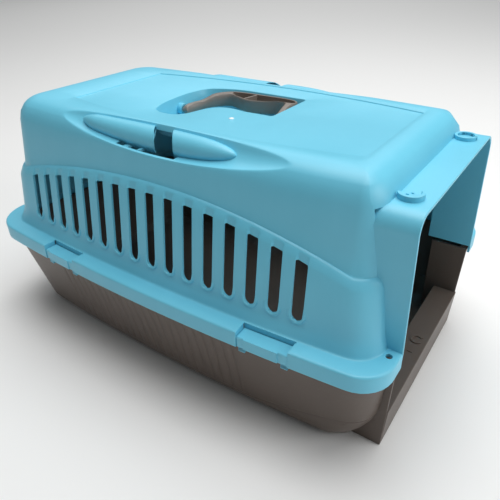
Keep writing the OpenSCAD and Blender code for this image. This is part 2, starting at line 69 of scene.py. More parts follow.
# %% [markdown]
# Every horizontal cut through these mouldings is the same kind of outline: two straight ends, four
# round corners and two long sides that bow outward. So one function places a column of the mesh on such
# an outline. The columns are counted from the middle of the rear end, along one long side, to the middle
# of the front end, and each height of the skin is one row. Mirroring that half skin makes the whole.

# %% The bowed outline
REAR_COLUMNS = 6
CORNER_COLUMNS = 10
FRONT_COLUMNS = 8
MOST_OF_CORNER = 0.85


def side_y(w, x):
    return w - SIDE_BOW * (x / HALF_L) ** 2


def side_turn(x):
    return math.atan(2 * SIDE_BOW * abs(x) / HALF_L ** 2)


def mix(a, b, t):
    return a + (b - a) * t


def smooth(t):
    t = min(1, max(0, t))
    return t * t * (3 - 2 * t)


class Outline:
    """Places columns on a bowed outline; xs are the fixed columns of the long side, gaps the loose ones."""

    def __init__(self, xs, rear_gap, front_gap, door_y):
        self.xs, self.door_y = xs, door_y
        counts = [REAR_COLUMNS, CORNER_COLUMNS, rear_gap, len(xs) - 1]
        counts += [front_gap, CORNER_COLUMNS, FRONT_COLUMNS]
        self.start = [sum(counts[:i]) for i in range(len(counts) + 1)]
        self.last = self.start[-1]

    def at(self, column, x0, x1, w, r_rear, r_front):
        s = self.start
        turn = side_turn(x0 + r_rear)
        rear_x = x0 + r_rear * (1 - math.sin(turn))
        rear_y = side_y(w, rear_x) - r_rear * math.cos(turn)
        if column <= s[1]:
            return x0, rear_y * column / s[1]
        if column <= s[2]:
            a = (math.pi / 2 - turn) * (column - s[1]) / (s[2] - s[1])
            return x0 + r_rear * (1 - math.cos(a)), rear_y + r_rear * math.sin(a)
        turn = side_turn(x1 - r_front)
        front_x = x1 - r_front * (1 - math.sin(turn))
        front_y = side_y(w, front_x) - r_front * math.cos(turn)
        if column <= s[5]:
            if column <= s[3]:
                x = mix(rear_x, self.xs[0], (column - s[2]) / (s[3] - s[2]))
            elif column <= s[4]:
                x = self.xs[column - s[3]]
            else:
                x = mix(self.xs[-1], front_x, (column - s[4]) / (s[5] - s[4]))
            return x, side_y(w, x)
        door_y = min(self.door_y, front_y + MOST_OF_CORNER * r_front)
        if column <= s[6]:
            return self.round_front(column, x1, r_front, turn, front_y, door_y)
        y = door_y * (1 - (column - s[6]) / (s[7] - s[6]))
        return self.front_x(y, x1, r_front, front_y), y

    def front_x(self, y, x1, r, centre_y):
        over = max(0.0, min(y - centre_y, r))
        return x1 - r + math.sqrt(r * r - over * over)

    def round_front(self, column, x1, r, turn, centre_y, door_y):
        t = (column - self.start[5]) / CORNER_COLUMNS
        first = math.pi / 2 - turn
        if centre_y <= door_y:
            a = mix(first, math.asin(min(1, (door_y - centre_y) / r)), t)
            return x1 - r + r * math.cos(a), centre_y + r * math.sin(a)
        run = t * (r * first + centre_y - door_y)
        if run < r * first:
            a = first - run / r
            return x1 - r + r * math.cos(a), centre_y + r * math.sin(a)
        return x1, centre_y - (run - r * first)


def half_skin(outline, rows):
    """A grid with one row of vertices for each function in rows, which gives the place of a column."""
    bm = bmesh.new()
    bmesh.ops.create_grid(bm, x_segments=outline.last, y_segments=len(rows) - 1, size=1)
    column_of = bm.verts.layers.int.new("column")
    row_of = bm.verts.layers.int.new("row")
    for v in bm.verts:
        v[column_of] = round((v.co.x + 1) / 2 * outline.last)
        v[row_of] = round((v.co.y + 1) / 2 * (len(rows) - 1))
        v.co = rows[v[row_of]](v[column_of])
    return bm, column_of, row_of


def drop_cells(bm, column_of, row_of, rows, keep_out):
    """Deletes the cells between two rows whose columns are named by keep_out."""
    gone = []
    for f in bm.faces:
        rs = [v[row_of] for v in f.verts]
        cs = [v[column_of] for v in f.verts]
        if min(rs) >= rows[0] and max(rs) <= rows[1] and keep_out(min(cs), max(cs)):
            gone.append(f)
    bmesh.ops.delete(bm, geom=gone, context="FACES")
    return len(gone)


def mirror_skin(bm):
    """The half skin and its mirror image, joined along the middle plane."""
    bmesh.ops.mirror(bm, geom=bm.verts[:] + bm.edges[:] + bm.faces[:], axis="Y", merge_dist=0.01)
    bmesh.ops.remove_doubles(bm, verts=bm.verts[:], dist=0.02)


print("outline rule ready")

# %% [markdown]
# A finished bmesh becomes an object at the origin with its place in its mesh. The wall is one Solidify
# modifier, and a small Bevel rounds whatever edge is still sharp, as the mould's own radius would.

# %% From bmesh to a finished piece
def finish_piece(name, bm, body, material, wall=0.0, edge=0.6, segments=2, angle=40):
    bmesh.ops.scale(bm, vec=(MM, MM, MM), verts=bm.verts[:])
    mesh = bpy.data.meshes.new(name)
    bm.to_mesh(mesh)
    bm.free()
    piece = bpy.data.objects.new(name, mesh)
    bpy.context.scene.collection.objects.link(piece)
    for p in mesh.polygons:
        p.use_smooth = True
    if wall:
        thick = piece.modifiers.new("wall", "SOLIDIFY")
        thick.thickness = wall * MM
        thick.offset = -1
        thick.use_even_offset = True
        thick.thickness_clamp = 1
    if edge:
        rounding = piece.modifiers.new("edge", "BEVEL")
        rounding.width = edge * MM
        rounding.segments = segments
        rounding.limit_method = "ANGLE"
        rounding.angle_limit = math.radians(angle)
        rounding.use_clamp_overlap = True
        rounding.harden_normals = True
    mesh.materials.append(material)
    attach(piece, body)
    print(f"{name}: {len(mesh.polygons)} faces")
    return piece


def face_out(bm):
    bmesh.ops.recalc_face_normals(bm, faces=bm.faces[:])


def box(bm, low, high):
    """A box between two corners, and its vertices."""
    centre = [(a + b) / 2 for a, b in zip(low, high)]
    size = [b - a for a, b in zip(low, high)]
    made = bmesh.ops.create_cube(bm, size=1, matrix=Matrix.Translation(centre) @ Matrix.Diagonal((*size, 1)))
    return made["verts"]


def rod(bm, centre, axis, radius, length, segments=32):
    """A round bar about centre along axis X, Y or Z."""
    turn = {"X": Matrix.Rotation(math.pi / 2, 4, "Y"), "Y": Matrix.Rotation(-math.pi / 2, 4, "X"),
            "Z": Matrix.Identity(4)}[axis]
    return bmesh.ops.create_cone(bm, cap_ends=True, segments=segments, radius1=radius, radius2=radius,
                                 depth=length, matrix=Matrix.Translation(centre) @ turn)["verts"]


print("piece helpers ready")

# %% [markdown]
# Moulded plastic looks plain but it isn't one flat colour: the pigment clouds a little, the surface has
# a fine spark-eroded grain, and the gloss changes slowly over a panel. The nodes below read Object
# coordinates, so the grain keeps its size on every piece. A small class wraps a socket, so shader maths
# reads like ordinary maths.

# %% A socket that can be used in expressions
class Wire:
    def __init__(self, shader, socket):
        self.shader, self.socket = shader, socket

    def maths(self, operation, a, b):
        return self.shader.node("ShaderNodeMath", {"operation": operation}, {0: a, 1: b})

    def __add__(self, other):
        return self.maths("ADD", self, other)

    def __radd__(self, other):
        return self.maths("ADD", other, self)

    def __sub__(self, other):
        return self.maths("SUBTRACT", self, other)

    def __mul__(self, other):
        return self.maths("MULTIPLY", self, other)

    def __rmul__(self, other):
        return self.maths("MULTIPLY", other, self)


class Shader:
    """A new material whose nodes are made by one method."""

    def __init__(self, name):
        self.material = bpy.data.materials.new(name)
        self.material.use_nodes = True
        self.tree = self.material.node_tree
        self.surface = self.tree.nodes["Principled BSDF"]

    def put(self, socket, value):
        if isinstance(value, Wire):
            self.tree.links.new(value.socket, socket)
        else:
            socket.default_value = value

    def node(self, kind, settings=None, values=None, out=0):
        made = self.tree.nodes.new(kind)
        for key, value in (settings or {}).items():
            if key == "stops":
                ramp = made.color_ramp
                for i, (place, colour) in enumerate(value):
                    stop = ramp.elements[i] if i < 2 else ramp.elements.new(place)
                    stop.position, stop.color = place, (*colour, 1)
            else:
                setattr(made, key, value)
        for key, value in (values or {}).items():
            self.put(made.inputs[key], value)
        return Wire(self, made.outputs[out])

    def set(self, **values):
        for key, value in values.items():
            self.put(self.surface.inputs[key.replace("_", " ")], value)
        return self.material


def noise(shader, place, scale, detail=3.0, roughness=0.55):
    return shader.node("ShaderNodeTexNoise", {}, {"Vector": place, "Scale": scale, "Detail": detail,
                                                  "Roughness": roughness})


def moulded_plastic(name, base, deep, gloss, grain, dust=0.0):
    """Pigment clouds between two colours, a fine grain in the normal and a slowly changing gloss."""
    s = Shader(name)
    place = s.node("ShaderNodeTexCoord", out=3)
    cloud = noise(s, place, 9.0)
    streak = s.node("ShaderNodeMapping", {}, {"Vector": place, "Scale": (1.0, 1.0, 0.25)})
    flow = noise(s, streak, 42.0, 4.0)
    amount = cloud * 0.65 + flow * 0.35
    colour = s.node("ShaderNodeValToRGB", {"stops": [(0.32, deep), (0.68, base)]}, {0: amount})
    if dust:
        speck = noise(s, place, 260.0, 2.0)
        mask = s.node("ShaderNodeValToRGB", {"stops": [(0.6, (0, 0, 0)), (0.78, (dust, dust, dust))]},
                      {0: speck})
        colour = s.node("ShaderNodeMix", {"data_type": "RGBA"},
                        {0: mask, 6: colour, 7: (*[min(1, c * 1.5 + 0.04) for c in base], 1)}, out=2)
    fine = noise(s, place, 1500.0, 2.0)
    orange_peel = noise(s, place, 55.0, 2.0)
    height = fine * 0.5 + orange_peel * 0.8
    bump = s.node("ShaderNodeBump", {}, {"Strength": grain, "Distance": 0.0004, "Height": height})
    return s.set(Base_Color=colour, Roughness=gloss + 0.14 * cloud - 0.05 * flow, Normal=bump,
                 IOR=1.5, Subsurface_Weight=0.0)


AQUA = moulded_plastic("aqua_moulding", (0.17, 0.61, 0.80), (0.15, 0.575, 0.76), 0.33, 0.25)
BROWN = moulded_plastic("brown_moulding", (0.125, 0.097, 0.08), (0.108, 0.083, 0.068), 0.38, 0.3, dust=0.12)
TAUPE = moulded_plastic("taupe_moulding", (0.23, 0.195, 0.17), (0.20, 0.17, 0.148), 0.34, 0.25)
# The gate mark's pale colour is a painted highlight: it stands in for the glint of light on the small raised
# dot.
GATE_HIGHLIGHT_PAINT = moulded_plastic("gate_mark_painted_highlight", (0.85, 0.93, 0.95), (0.7, 0.86, 0.9), 0.2, 0.1)
print("materials:", [m.name for m in bpy.data.materials])

# %% [markdown]
# The camera stands where the photographer stood: above the near front corner. The place and the lens
# come from measuring the rims, slots and roof in the picture, so the same corner falls on the same spot.

# %% Camera, floor and lamps
CAMERA_PLACE = (0.31867, -0.40039, 0.38887)
CAMERA_RIGHT = Vector((0.8286, 0.5596, -0.0189))
CAMERA_AHEAD = Vector((-0.4895, 0.7077, -0.5095))
LENS_MM = 36.06
SHIFT = (-0.0195, -0.0218)
FLOOR_REACH = 9
FLOOR_LAMP = (-2.0, 3.2, 3.0)
FLOOR_SPOT = (-2.0, 3.2, 0)
SKY_COLOUR, SKY_STRENGTH = (0.95, 0.98, 1, 1), 0.16


def stand_camera():
    data = bpy.data.cameras.new("camera")
    data.sensor_width = 36
    data.lens = LENS_MM
    data.shift_x, data.shift_y = SHIFT
    data.clip_start = 0.01
    camera = bpy.data.objects.new("camera", data)
    bpy.context.scene.collection.objects.link(camera)
    right = CAMERA_RIGHT.normalized()
    back = -CAMERA_AHEAD.normalized()
    up = back.cross(right).normalized()
    turn = Matrix((right, up, right.cross(up))).transposed().to_4x4()
    camera.matrix_world = Matrix.Translation(CAMERA_PLACE) @ turn
    bpy.context.scene.camera = camera


def lay_floor():
    bm = bmesh.new()
    bmesh.ops.create_grid(bm, x_segments=1, y_segments=1, size=FLOOR_REACH)
    mesh = bpy.data.meshes.new("floor")
    bm.to_mesh(mesh)
    bm.free()
    floor = bpy.data.objects.new("floor", mesh)
    bpy.context.scene.collection.objects.link(floor)
    s = Shader("pale_floor")
    mesh.materials.append(s.set(Base_Color=(0.86, 0.86, 0.85, 1), Roughness=0.9))


def hang_lamp(name, place, aim, size, watts):
    data = bpy.data.lights.new(name, "AREA")
    data.shape = "RECTANGLE"
    data.size, data.size_y = size
    data.energy = watts
    lamp = bpy.data.objects.new(name, data)
    bpy.context.scene.collection.objects.link(lamp)
    lamp.location = place
    lamp.rotation_euler = (Vector(aim) - Vector(place)).to_track_quat("-Z", "Y").to_euler()


stand_camera()
lay_floor()
MIDDLE = (0, 0, 0.12)
hang_lamp("overhead", (0.15, 0.25, 2.2), MIDDLE, (1.8, 1.8), 42)
hang_lamp("doorway_side", (1.6, 0.2, 0.9), MIDDLE, (0.9, 0.9), 9)
hang_lamp("far_floor", FLOOR_LAMP, FLOOR_SPOT, (4.5, 4.5), 75)
world = bpy.data.worlds.new("studio")
world.use_nodes = True
world.node_tree.nodes["Background"].inputs["Color"].default_value = SKY_COLOUR
world.node_tree.nodes["Background"].inputs["Strength"].default_value = SKY_STRENGTH
bpy.context.scene.world = world
bpy.context.scene.view_settings.view_transform = "Standard"
print("camera, floor and lamps are in place")

# %% [markdown]
# The upper shell is one skin. Its rows climb from the skirt over the rim, up the hollow fillet, through
# the band of vent slots, over the arched ledge, up the roof wall, across the finger scoop in the
# shoulder and over the flat top to the sunk panel. Rows that must meet an edge, such as the lower ends
# of the slots or the ledge, change height from column to column.

# %% Sizes of the upper shell
SLOTS, SLOT_W, SLOT_PITCH, SLOT_X0, SLOT_Z = 16, 11, 22.2, -169, 127
SLOT_TOP_GAP = 8.6
RIM_R = (45, 30)
SHELL_R = (38, 26)
FOOT_REACH = 6.3
foot_steps = ((5.2, 0), (4.3, 0.35), (3.6, 1.3), (3.0, 3.2), (1.5, 7.2), (0, 12.4))
BELLY_HALF_W = HALF_W - RIM_FLAT - FOOT_REACH
LEDGE_Z, LEDGE_X, LEDGE_STEP = 207, 13, 6
LEDGE_DROP, LEDGE_REAR, LEDGE_FRONT = 31, 214, 188
SHOULDER_R = 25
SHOULDER_Z = ROOF_Z - SHOULDER_R
ROOF_REAR, ROOF_FRONT, ROOF_FRONT_R = HALF_L - 24, HALF_L - 29, 20
ROOF_HALF_W = BELLY_HALF_W - LEDGE_STEP - LEAN * (SHOULDER_Z - RIM_Z)
FRAME_HALF_W, FRAME_T = 103, 2.6
DOOR_Y = FRAME_HALF_W - FRAME_T / 2
CLIP_L, CLIP_GAP = 48, 0.3
CLIP_X = (-111, 145)


def ledge_at(x):
    reach = LEDGE_REAR if x < LEDGE_X else LEDGE_FRONT
    return LEDGE_Z - min(LEDGE_DROP + 1, LEDGE_DROP * ((x - LEDGE_X) / reach) ** 2)


SLOT_R = SLOT_W / 2
RIB_STEP = 8.3
round_steps = (0.5 * SLOT_R, 0.866 * SLOT_R, SLOT_R)
back_steps = tuple(-step for step in reversed(round_steps))
slot_steps = (-SLOT_PITCH / 2, -RIB_STEP, *back_steps, 0, *round_steps, RIB_STEP)
slot_middles = [SLOT_X0 + k * SLOT_PITCH for k in range(SLOTS)]
side_xs = [m + step for m in slot_middles for step in slot_steps] + [slot_middles[-1] + SLOT_PITCH / 2]
shell_outline = Outline(side_xs, rear_gap=3, front_gap=5, door_y=DOOR_Y)
FIRST_SIDE, LAST_SIDE = shell_outline.start[3], shell_outline.start[4]
print(f"{shell_outline.last} columns, the side has {len(side_xs)}")

# %% [markdown]
# Two families of outlines make the walls: the belly below the ledge and the roof above it. Both lean in
# as they rise. The roof's shoulder is a quarter round that begins where the leaning wall ends, so the
# wall runs into it without a kink.

# %% Places on the walls
def on_rim(c, inset, z):
    x, y = shell_outline.at(c, -HALF_L + inset, HALF_L - inset, HALF_W - inset,
                            RIM_R[0] - inset, RIM_R[1] - inset)
    return Vector((x, y, z))


def on_belly(c, z, out=0.0):
    up = z - RIM_Z
    x, y = shell_outline.at(c, -(HALF_L - RIM_FLAT - 2) + LEAN * up / 3 - out / 2,
                            HALF_L - RIM_FLAT - 0.8 * LEAN * up + out / 3,
                            BELLY_HALF_W - LEAN * up + out, *SHELL_R)
    return Vector((x, y, z))


LEAN_ANGLE = math.degrees(math.atan(LEAN))
PER_DEGREE = SHOULDER_R * math.pi / 180
MID_BELLY_Z = 190


def on_roof(c, turn):
    """A place on the roof: the turn is under LEAN_ANGLE on the wall and over 90 on the flat top."""
    a = math.radians(min(max(turn, LEAN_ANGLE), 90))
    z = SHOULDER_Z + SHOULDER_R * math.sin(a)
    inset = SHOULDER_R * (1 - math.cos(a))
    if turn < LEAN_ANGLE:
        drop = (LEAN_ANGLE - turn) * PER_DEGREE
        z -= drop * math.cos(math.atan(LEAN))
        inset -= drop * math.sin(math.atan(LEAN))
    if turn > 90:
        inset += (turn - 90) * PER_DEGREE
    x, y = shell_outline.at(c, -ROOF_REAR + inset, ROOF_FRONT - inset, ROOF_HALF_W - inset,
                            max(SHELL_R[0] - inset, 5), max(ROOF_FRONT_R - inset, 4))
    return Vector((x, y, z))


def body_x(c):
    """Where column c lies along the body, read on the belly."""
    return on_belly(c, MID_BELLY_Z).x


def roof_turn_at(z):
    """The turn that gives height z on the leaning wall."""
    start = SHOULDER_Z + SHOULDER_R * math.sin(math.radians(LEAN_ANGLE))
    return LEAN_ANGLE - (start - z) / math.cos(math.atan(LEAN)) / PER_DEGREE


print("wall at the rim:", tuple(round(v, 1) for v in on_belly(FIRST_SIDE + 80, RIM_Z)))

# %% [markdown]
# The finger scoop is a lens cut from the shoulder by a round cutter that runs beside the roof and is
# thickest in the middle. In each upright cut the cutter is a circle, so the places where it enters and
# leaves the shoulder come from the triangle between the two centres. Rows are laid exactly on those two
# edges, and the rows between them lie on the cutter.

# %% The finger scoop
SCOOP_X, SCOOP_L, SCOOP_R, SCOOP_END_R = 8, 133, 26.5, 14
SCOOP_OUT, SCOOP_UP = 22, 7.5
MIDDLE_TURN = math.degrees(math.atan2(SHOULDER_R + SCOOP_UP, SCOOP_OUT))
LEAST_SPREAD = 8.0
REACH_ROWS = (0.09, 0.25)
EDGE_EASE = 3.5


def scoop_radius(x):
    u = (x - SCOOP_X) / SCOOP_L
    return SCOOP_END_R + (SCOOP_R - SCOOP_END_R) * (1 - u * u) if abs(u) < 1 else 0.0


def scoop_edges(c):
    """Where the cutter enters and leaves the roof's section at column c, as turns, and whether it cuts."""
    nominal = (MIDDLE_TURN - LEAST_SPREAD, MIDDLE_TURN + LEAST_SPREAD)
    if not FIRST_SIDE <= c <= LAST_SIDE:
        return (*nominal, False)
    r = scoop_radius(side_xs[c - FIRST_SIDE])
    far = math.hypot(SCOOP_OUT, SHOULDER_R + SCOOP_UP)
    cosine = (SHOULDER_R ** 2 + far ** 2 - r * r) / (2 * SHOULDER_R * far)
    if r == 0 or cosine > 1:
        return (*nominal, False)
    half = math.degrees(math.acos(cosine))
    if half < LEAST_SPREAD:
        return (*nominal, False)
    high = MIDDLE_TURN + half
    if high > 90:
        high = 90 + (math.sqrt(r * r - SCOOP_UP ** 2) - SCOOP_OUT) / PER_DEGREE
    return MIDDLE_TURN - half, high, True


def cutter_centre(at):
    return Vector((at.x, side_y(ROOF_HALF_W, at.x) - SHOULDER_R + SCOOP_OUT, ROOF_Z + SCOOP_UP))


def pushed_in(c, at):
    """A place moved onto the cutter where it lies inside it."""
    if not FIRST_SIDE <= c <= LAST_SIDE:
        return at
    r = scoop_radius(at.x)
    centre = cutter_centre(at)
    away = at - centre
    return centre + away.normalized() * r if away.length < r else at


def in_scoop(c, share):
    """A place across the hollow: share 0 at its lower edge, 1 at its upper edge."""
    low, high, cuts = scoop_edges(c)
    if not cuts:
        return pushed_in(c, on_roof(c, mix(low, high, share)))
    first, last = on_roof(c, low), on_roof(c, high)
    centre = cutter_centre(first)
    angles = [math.atan2(p.z - centre.z, p.y - centre.y) for p in (first, last)]
    a = mix(angles[0], angles[1], share)
    r = scoop_radius(first.x)
    return Vector((first.x, centre.y + r * math.cos(a), centre.z + r * math.sin(a)))


def eased(c, edge_turn, before, inside):
    """The rounded edge of the hollow: the corner is drawn towards the chord between its neighbours."""
    corner = on_roof(c, edge_turn)
    return corner * 0.55 + (on_roof(c, before) + in_scoop(c, inside)) * 0.225


def shoulder_row(place, share=0.0):
    def row(c):
        low, high, _ = scoop_edges(c)
        if place == "below":
            return pushed_in(c, on_roof(c, mix(LEAN_ANGLE, low - EDGE_EASE, share)))
        if place == "low_edge":
            return eased(c, low, low - EDGE_EASE, 0.04)
        if place == "hollow":
            return in_scoop(c, share)
        if place == "high_edge":
            return eased(c, high, high + EDGE_EASE, 0.96)
        end = max(92, high + EDGE_EASE + 1.5)
        return pushed_in(c, on_roof(c, mix(high + EDGE_EASE, end, share)))
    return row


mid_column = FIRST_SIDE + 80
print("scoop edges at mid length:", [round(v, 1) for v in scoop_edges(mid_column)[:2]])

# %% [markdown]
# The rows themselves. On the rim the columns are moved a little so that some of them fall on the ends of
# the clips, where the rim is cut away. Above each vent slot the wall stands back from the ribs, which is
# why the photograph shows a shaded patch between every slot and the ledge.

# %% Rows from the skirt to the ledge
RIM_EDGE = ((0, 2.2), (0.3, 1), (1, 0.3), (2.2, 0))
SLOT_TOPS = ((SLOT_TOP_GAP, 2.2, 0), (6, 2.4, 0.8), (3, 2.7, 1.9))
LEDGE_EDGE = ((1.8, 2.8), (0.7, 3.6), (0.1, 4.6), (-0.2, LEDGE_STEP - 0.6))
ROOF_FOOT = 1.6
SQUARE_SHARE = 0.71
clip_ends = [x + s * (CLIP_L / 2 + CLIP_GAP) for x in CLIP_X for s in (-1, 1)]
side_place = {FIRST_SIDE + i: x for i, x in enumerate(side_xs)}
snap = {min(side_place, key=lambda c: abs(side_place[c] - end)): end for end in clip_ends}


def slot_step(c):
    """Distance of a column from the middle of its slot, or None off the slotted side."""
    if not FIRST_SIDE <= c <= LAST_SIDE:
        return None
    x = side_place[c]
    return x - min(slot_middles, key=lambda m: abs(m - x))


def on_slot(c):
    step = slot_step(c)
    return step is not None and abs(step) <= SLOT_R + 0.01


def rim_row(inset, z):
    def row(c):
        p = on_rim(c, inset, z)
        if c in snap:
            p.x = snap[c]
            p.y = side_y(HALF_W - inset, p.x)
        return p
    return row


def foot_row(step):
    out, up = foot_steps[step]
    return lambda c: on_belly(c, RIM_Z + up, out)


def pocket_row(c):
    return rim_row(RIM_EDGE[-1][0], RIM_Z)(c).lerp(foot_row(0)(c), 0.96)


def slot_low_row(c):
    step = slot_step(c)
    z = SLOT_Z + SLOT_R
    if on_slot(c):
        z -= math.sqrt(max(0.0, SLOT_R * SLOT_R - step * step))
    return on_belly(c, z)


def slot_top_row(rise, deep, bend):
    """Above the slots the wall stands back by deep, and the ribs between bend inward by bend."""
    def row(c):
        p = on_belly(c, ledge_at(body_x(c)) - rise, -bend)
        if on_slot(c):
            step = slot_step(c)
            share = abs(step) / SLOT_R
            even = abs(step) if share > 0.9 else SQUARE_SHARE * SLOT_R * round(2 * share / 1.73, 1)
            p.x += math.copysign(even, step) - step
            p.y = side_y(BELLY_HALF_W - LEAN * (p.z - RIM_Z) - bend, p.x)
            if even < SLOT_R - 0.1:
                p.y -= deep - bend
        return p
    return row


def ledge_row(below, inset):
    def row(c):
        z = ledge_at(body_x(c)) - below
        belly, roof = on_belly(c, z), on_roof(c, roof_turn_at(z))
        step = (belly - roof).length
        return belly.lerp(roof, min(1, inset / step)) if step else belly
    return row


def roof_wall_row(t):
    def row(c):
        low = roof_turn_at(ledge_at(body_x(c)) + ROOF_FOOT)
        return on_roof(c, mix(low, LEAN_ANGLE, t))
    return row


lower_rows = [rim_row(0, SKIRT_Z)] + [rim_row(inset, RIM_Z - drop) for inset, drop in RIM_EDGE]
POCKET_ROW = len(lower_rows)
lower_rows.append(pocket_row)
lower_rows += [foot_row(step) for step in range(len(foot_steps))]
SLOT_ROW = len(lower_rows)
lower_rows += [slot_low_row] + [slot_top_row(*top) for top in SLOT_TOPS]
lower_rows += [ledge_row(*edge) for edge in LEDGE_EDGE]
lower_rows += [roof_wall_row(t) for t in (0, 0.33, 0.66, 1)]
print(f"{len(lower_rows)} rows up to the shoulder, clip columns {sorted(snap)}")

# %% [markdown]
# Over the shoulder the rows follow the two edges of the finger scoop, then they gather into the bowed
# outline of the sunk panel and step down its rounded edge.

# %% Rows from the shoulder to the sunk panel
PANEL_X, PANEL_HALF_W, PANEL_D = (-150, 186), 82, 1.2
PANEL_EDGE = ((0, 0), (0.5, 0.3), (0.9, PANEL_D - 0.2), (1.8, PANEL_D))
PANEL_BOW = 1.4 * SIDE_BOW


def panel_row(inset, drop):
    """The bowed outline of the sunk panel; columns past its ends gather in its corners."""
    middle, half = sum(PANEL_X) / 2, (PANEL_X[1] - PANEL_X[0]) / 2

    def row(c):
        p = on_roof(c, 92)
        x = min(max(p.x, PANEL_X[0]), PANEL_X[1])
        y = PANEL_HALF_W - PANEL_BOW * ((x - middle) / half) ** 2
        if c < shell_outline.start[1] or c > shell_outline.start[6]:
            end = 0 if c < shell_outline.start[1] else shell_outline.last
            corner = shell_outline.start[1] if end == 0 else shell_outline.start[6]
            y *= abs(c - end) / abs(corner - end)
        x = min(max(x, PANEL_X[0] + inset), PANEL_X[1] - inset)
        return Vector((x, y * (1 - inset / PANEL_HALF_W), ROOF_Z - drop))
    return row


upper_rows = [shoulder_row("below", 0.5), shoulder_row("below", 1), shoulder_row("low_edge")]
HOLLOW_ROW = len(lower_rows) + len(upper_rows)
hollow_shares = (0.04, *REACH_ROWS, 0.4, 0.55, 0.7, 0.85, 0.96)
upper_rows += [shoulder_row("hollow", share) for share in hollow_shares]
upper_rows += [shoulder_row("high_edge")] + [shoulder_row("above", t) for t in (0, 0.33, 0.67, 1)]
upper_rows += [panel_row(*edge) for edge in PANEL_EDGE]
print(f"{len(upper_rows)} rows over the shoulder, the hollow starts at row {HOLLOW_ROW}")

# %% [markdown]
# Now the grid is made and the holes are opened by deleting cells: the vent slots, the slot for the
# fingers below the rolled bars, the doorway and the room for the four clips. The pocket behind each clip
# is the cut edge of the rim drawn straight down.

# %% Build the half skin and open it
DOOR_TOP = 229.1
POCKET_D, HOLE_D = 9, 3
REACH_X, GAP_X = (-41, 32), (-9.5, 24.5)
CORNER_HOLE, CORNER_HOLE_R = Vector((HALF_L - 8, FRAME_HALF_W + 8, RIM_Z)), 2.8


def open_shell(bm, column_of, row_of):
    firsts = [FIRST_SIDE + len(slot_steps) * k for k in range(SLOTS)]
    slots = [(c + slot_steps.index(-SLOT_R), c + slot_steps.index(SLOT_R)) for c in firsts]
    n = drop_cells(bm, column_of, row_of, (SLOT_ROW, SLOT_ROW + 1),
                   lambda a, b: any(low <= a and b <= high for low, high in slots))
    ends = sorted(snap)
    pairs = list(zip(ends[::2], ends[1::2]))
    n += drop_cells(bm, column_of, row_of, (0, POCKET_ROW),
                    lambda a, b: any(p <= a and b <= q for p, q in pairs))
    reach = [c for c, x in side_place.items() if REACH_X[0] <= x <= REACH_X[1]]
    n += drop_cells(bm, column_of, row_of, (HOLLOW_ROW + 1, HOLLOW_ROW + 3),
                    lambda a, b: reach[0] <= a and b <= reach[-1])
    gap = [c for c, x in side_place.items() if GAP_X[0] <= x <= GAP_X[1]]
    n += drop_cells(bm, column_of, row_of, (HOLLOW_ROW + 1, HOLLOW_ROW + 6),
                    lambda a, b: gap[0] <= a and b <= gap[-1])
    door = shell_outline.start[6]
    gone = [f for f in bm.faces if min(v[column_of] for v in f.verts) >= door
            and max(v.co.z for v in f.verts) <= DOOR_TOP]
    bmesh.ops.delete(bm, geom=gone, context="FACES")
    return pairs, n + len(gone)


def pocket_walls(bm, column_of, row_of, pairs):
    edges = [e for e in bm.edges if e.is_boundary and all(v[row_of] == POCKET_ROW for v in e.verts)
             and any(p <= v[column_of] <= q for v in e.verts for p, q in pairs)
             and abs(e.verts[0][column_of] - e.verts[1][column_of]) == 1]
    made = bmesh.ops.extrude_edge_only(bm, edges=edges)
    low = [g for g in made["geom"] if isinstance(g, bmesh.types.BMVert)]
    bmesh.ops.translate(bm, vec=(0, 0, -POCKET_D), verts=low)
    return len(edges)


def corner_hole(bm):
    """A round hole in the flat top of the rim: the cells round it go, and a flat fill joins the circle."""
    near = {f for f in bm.faces if all(abs(v.co.z - RIM_Z) < 0.01 for v in f.verts)
            and abs(f.calc_center_median().y - CORNER_HOLE.y) < 5 and f.calc_center_median().x > HALF_L - 16}
    ring = [e for e in bm.edges if sum(f in near for f in e.link_faces) == 1]
    bmesh.ops.delete(bm, geom=list(near), context="FACES_ONLY")
    bmesh.ops.delete(bm, geom=[e for e in bm.edges if not e.link_faces and e not in ring], context="EDGES")
    round_edge = bmesh.ops.create_circle(bm, radius=CORNER_HOLE_R, segments=24,
                                         matrix=Matrix.Translation(CORNER_HOLE))["verts"]
    circle = list({e for v in round_edge for e in v.link_edges})
    bmesh.ops.triangle_fill(bm, edges=ring + circle, use_beauty=True, use_dissolve=False)
    made = bmesh.ops.extrude_edge_only(bm, edges=circle)["geom"]
    low = [g for g in made if isinstance(g, bmesh.types.BMVert)]
    bmesh.ops.translate(bm, vec=(0, 0, -HOLE_D), verts=low)
    return len(near)


skin, column_of, row_of = half_skin(shell_outline, lower_rows + upper_rows)
print(f"{corner_hole(skin)} cells of the rim make room for the corner hole")
clip_pairs, opened = open_shell(skin, column_of, row_of)
pocketed = pocket_walls(skin, column_of, row_of, clip_pairs)
mirror_skin(skin)
print(f"shell skin: {len(skin.faces)} faces, {opened} cells opened a side, {pocketed} pocket edges")

# %% [markdown]
# The handle folds into a recess that isn't the same on both sides, so it is cut into the panel after the
# mirroring. Its outline is one closed smooth curve. Rings of edges are extruded from it: a rounded lip,
# the wall and the rounded foot of the wall, and the last ring is filled. A flat fill joins the panel to
# the lip, and since it is truly flat its triangles don't show.

# %% The handle recess
HANDLE_X, HANDLE_L, PIVOT_Y, HANDLE_W = 6, 113, -3, 52
RECESS_DEPTH = 24
recess_rear = [(-0.1, 1.08), (-0.28, 1.02), (-0.485, 0.81), (-0.55, 0.46), (-0.56, 0.06), (-0.53, -0.52),
               (-0.46, -0.9)]
recess_near = [(-0.37, -1), (-0.23, -1), (-0.14, -0.83), (-0.095, -0.48), (-0.025, -0.23), (0.1, -0.135),
               (0.25, -0.175), (0.38, -0.175)]


def on_handle(points):
    """Shares of the handle's length and reach turned into places on the roof."""
    return [Vector((HANDLE_X + HANDLE_L * u, PIVOT_Y + HANDLE_W * v)) for u, v in points]


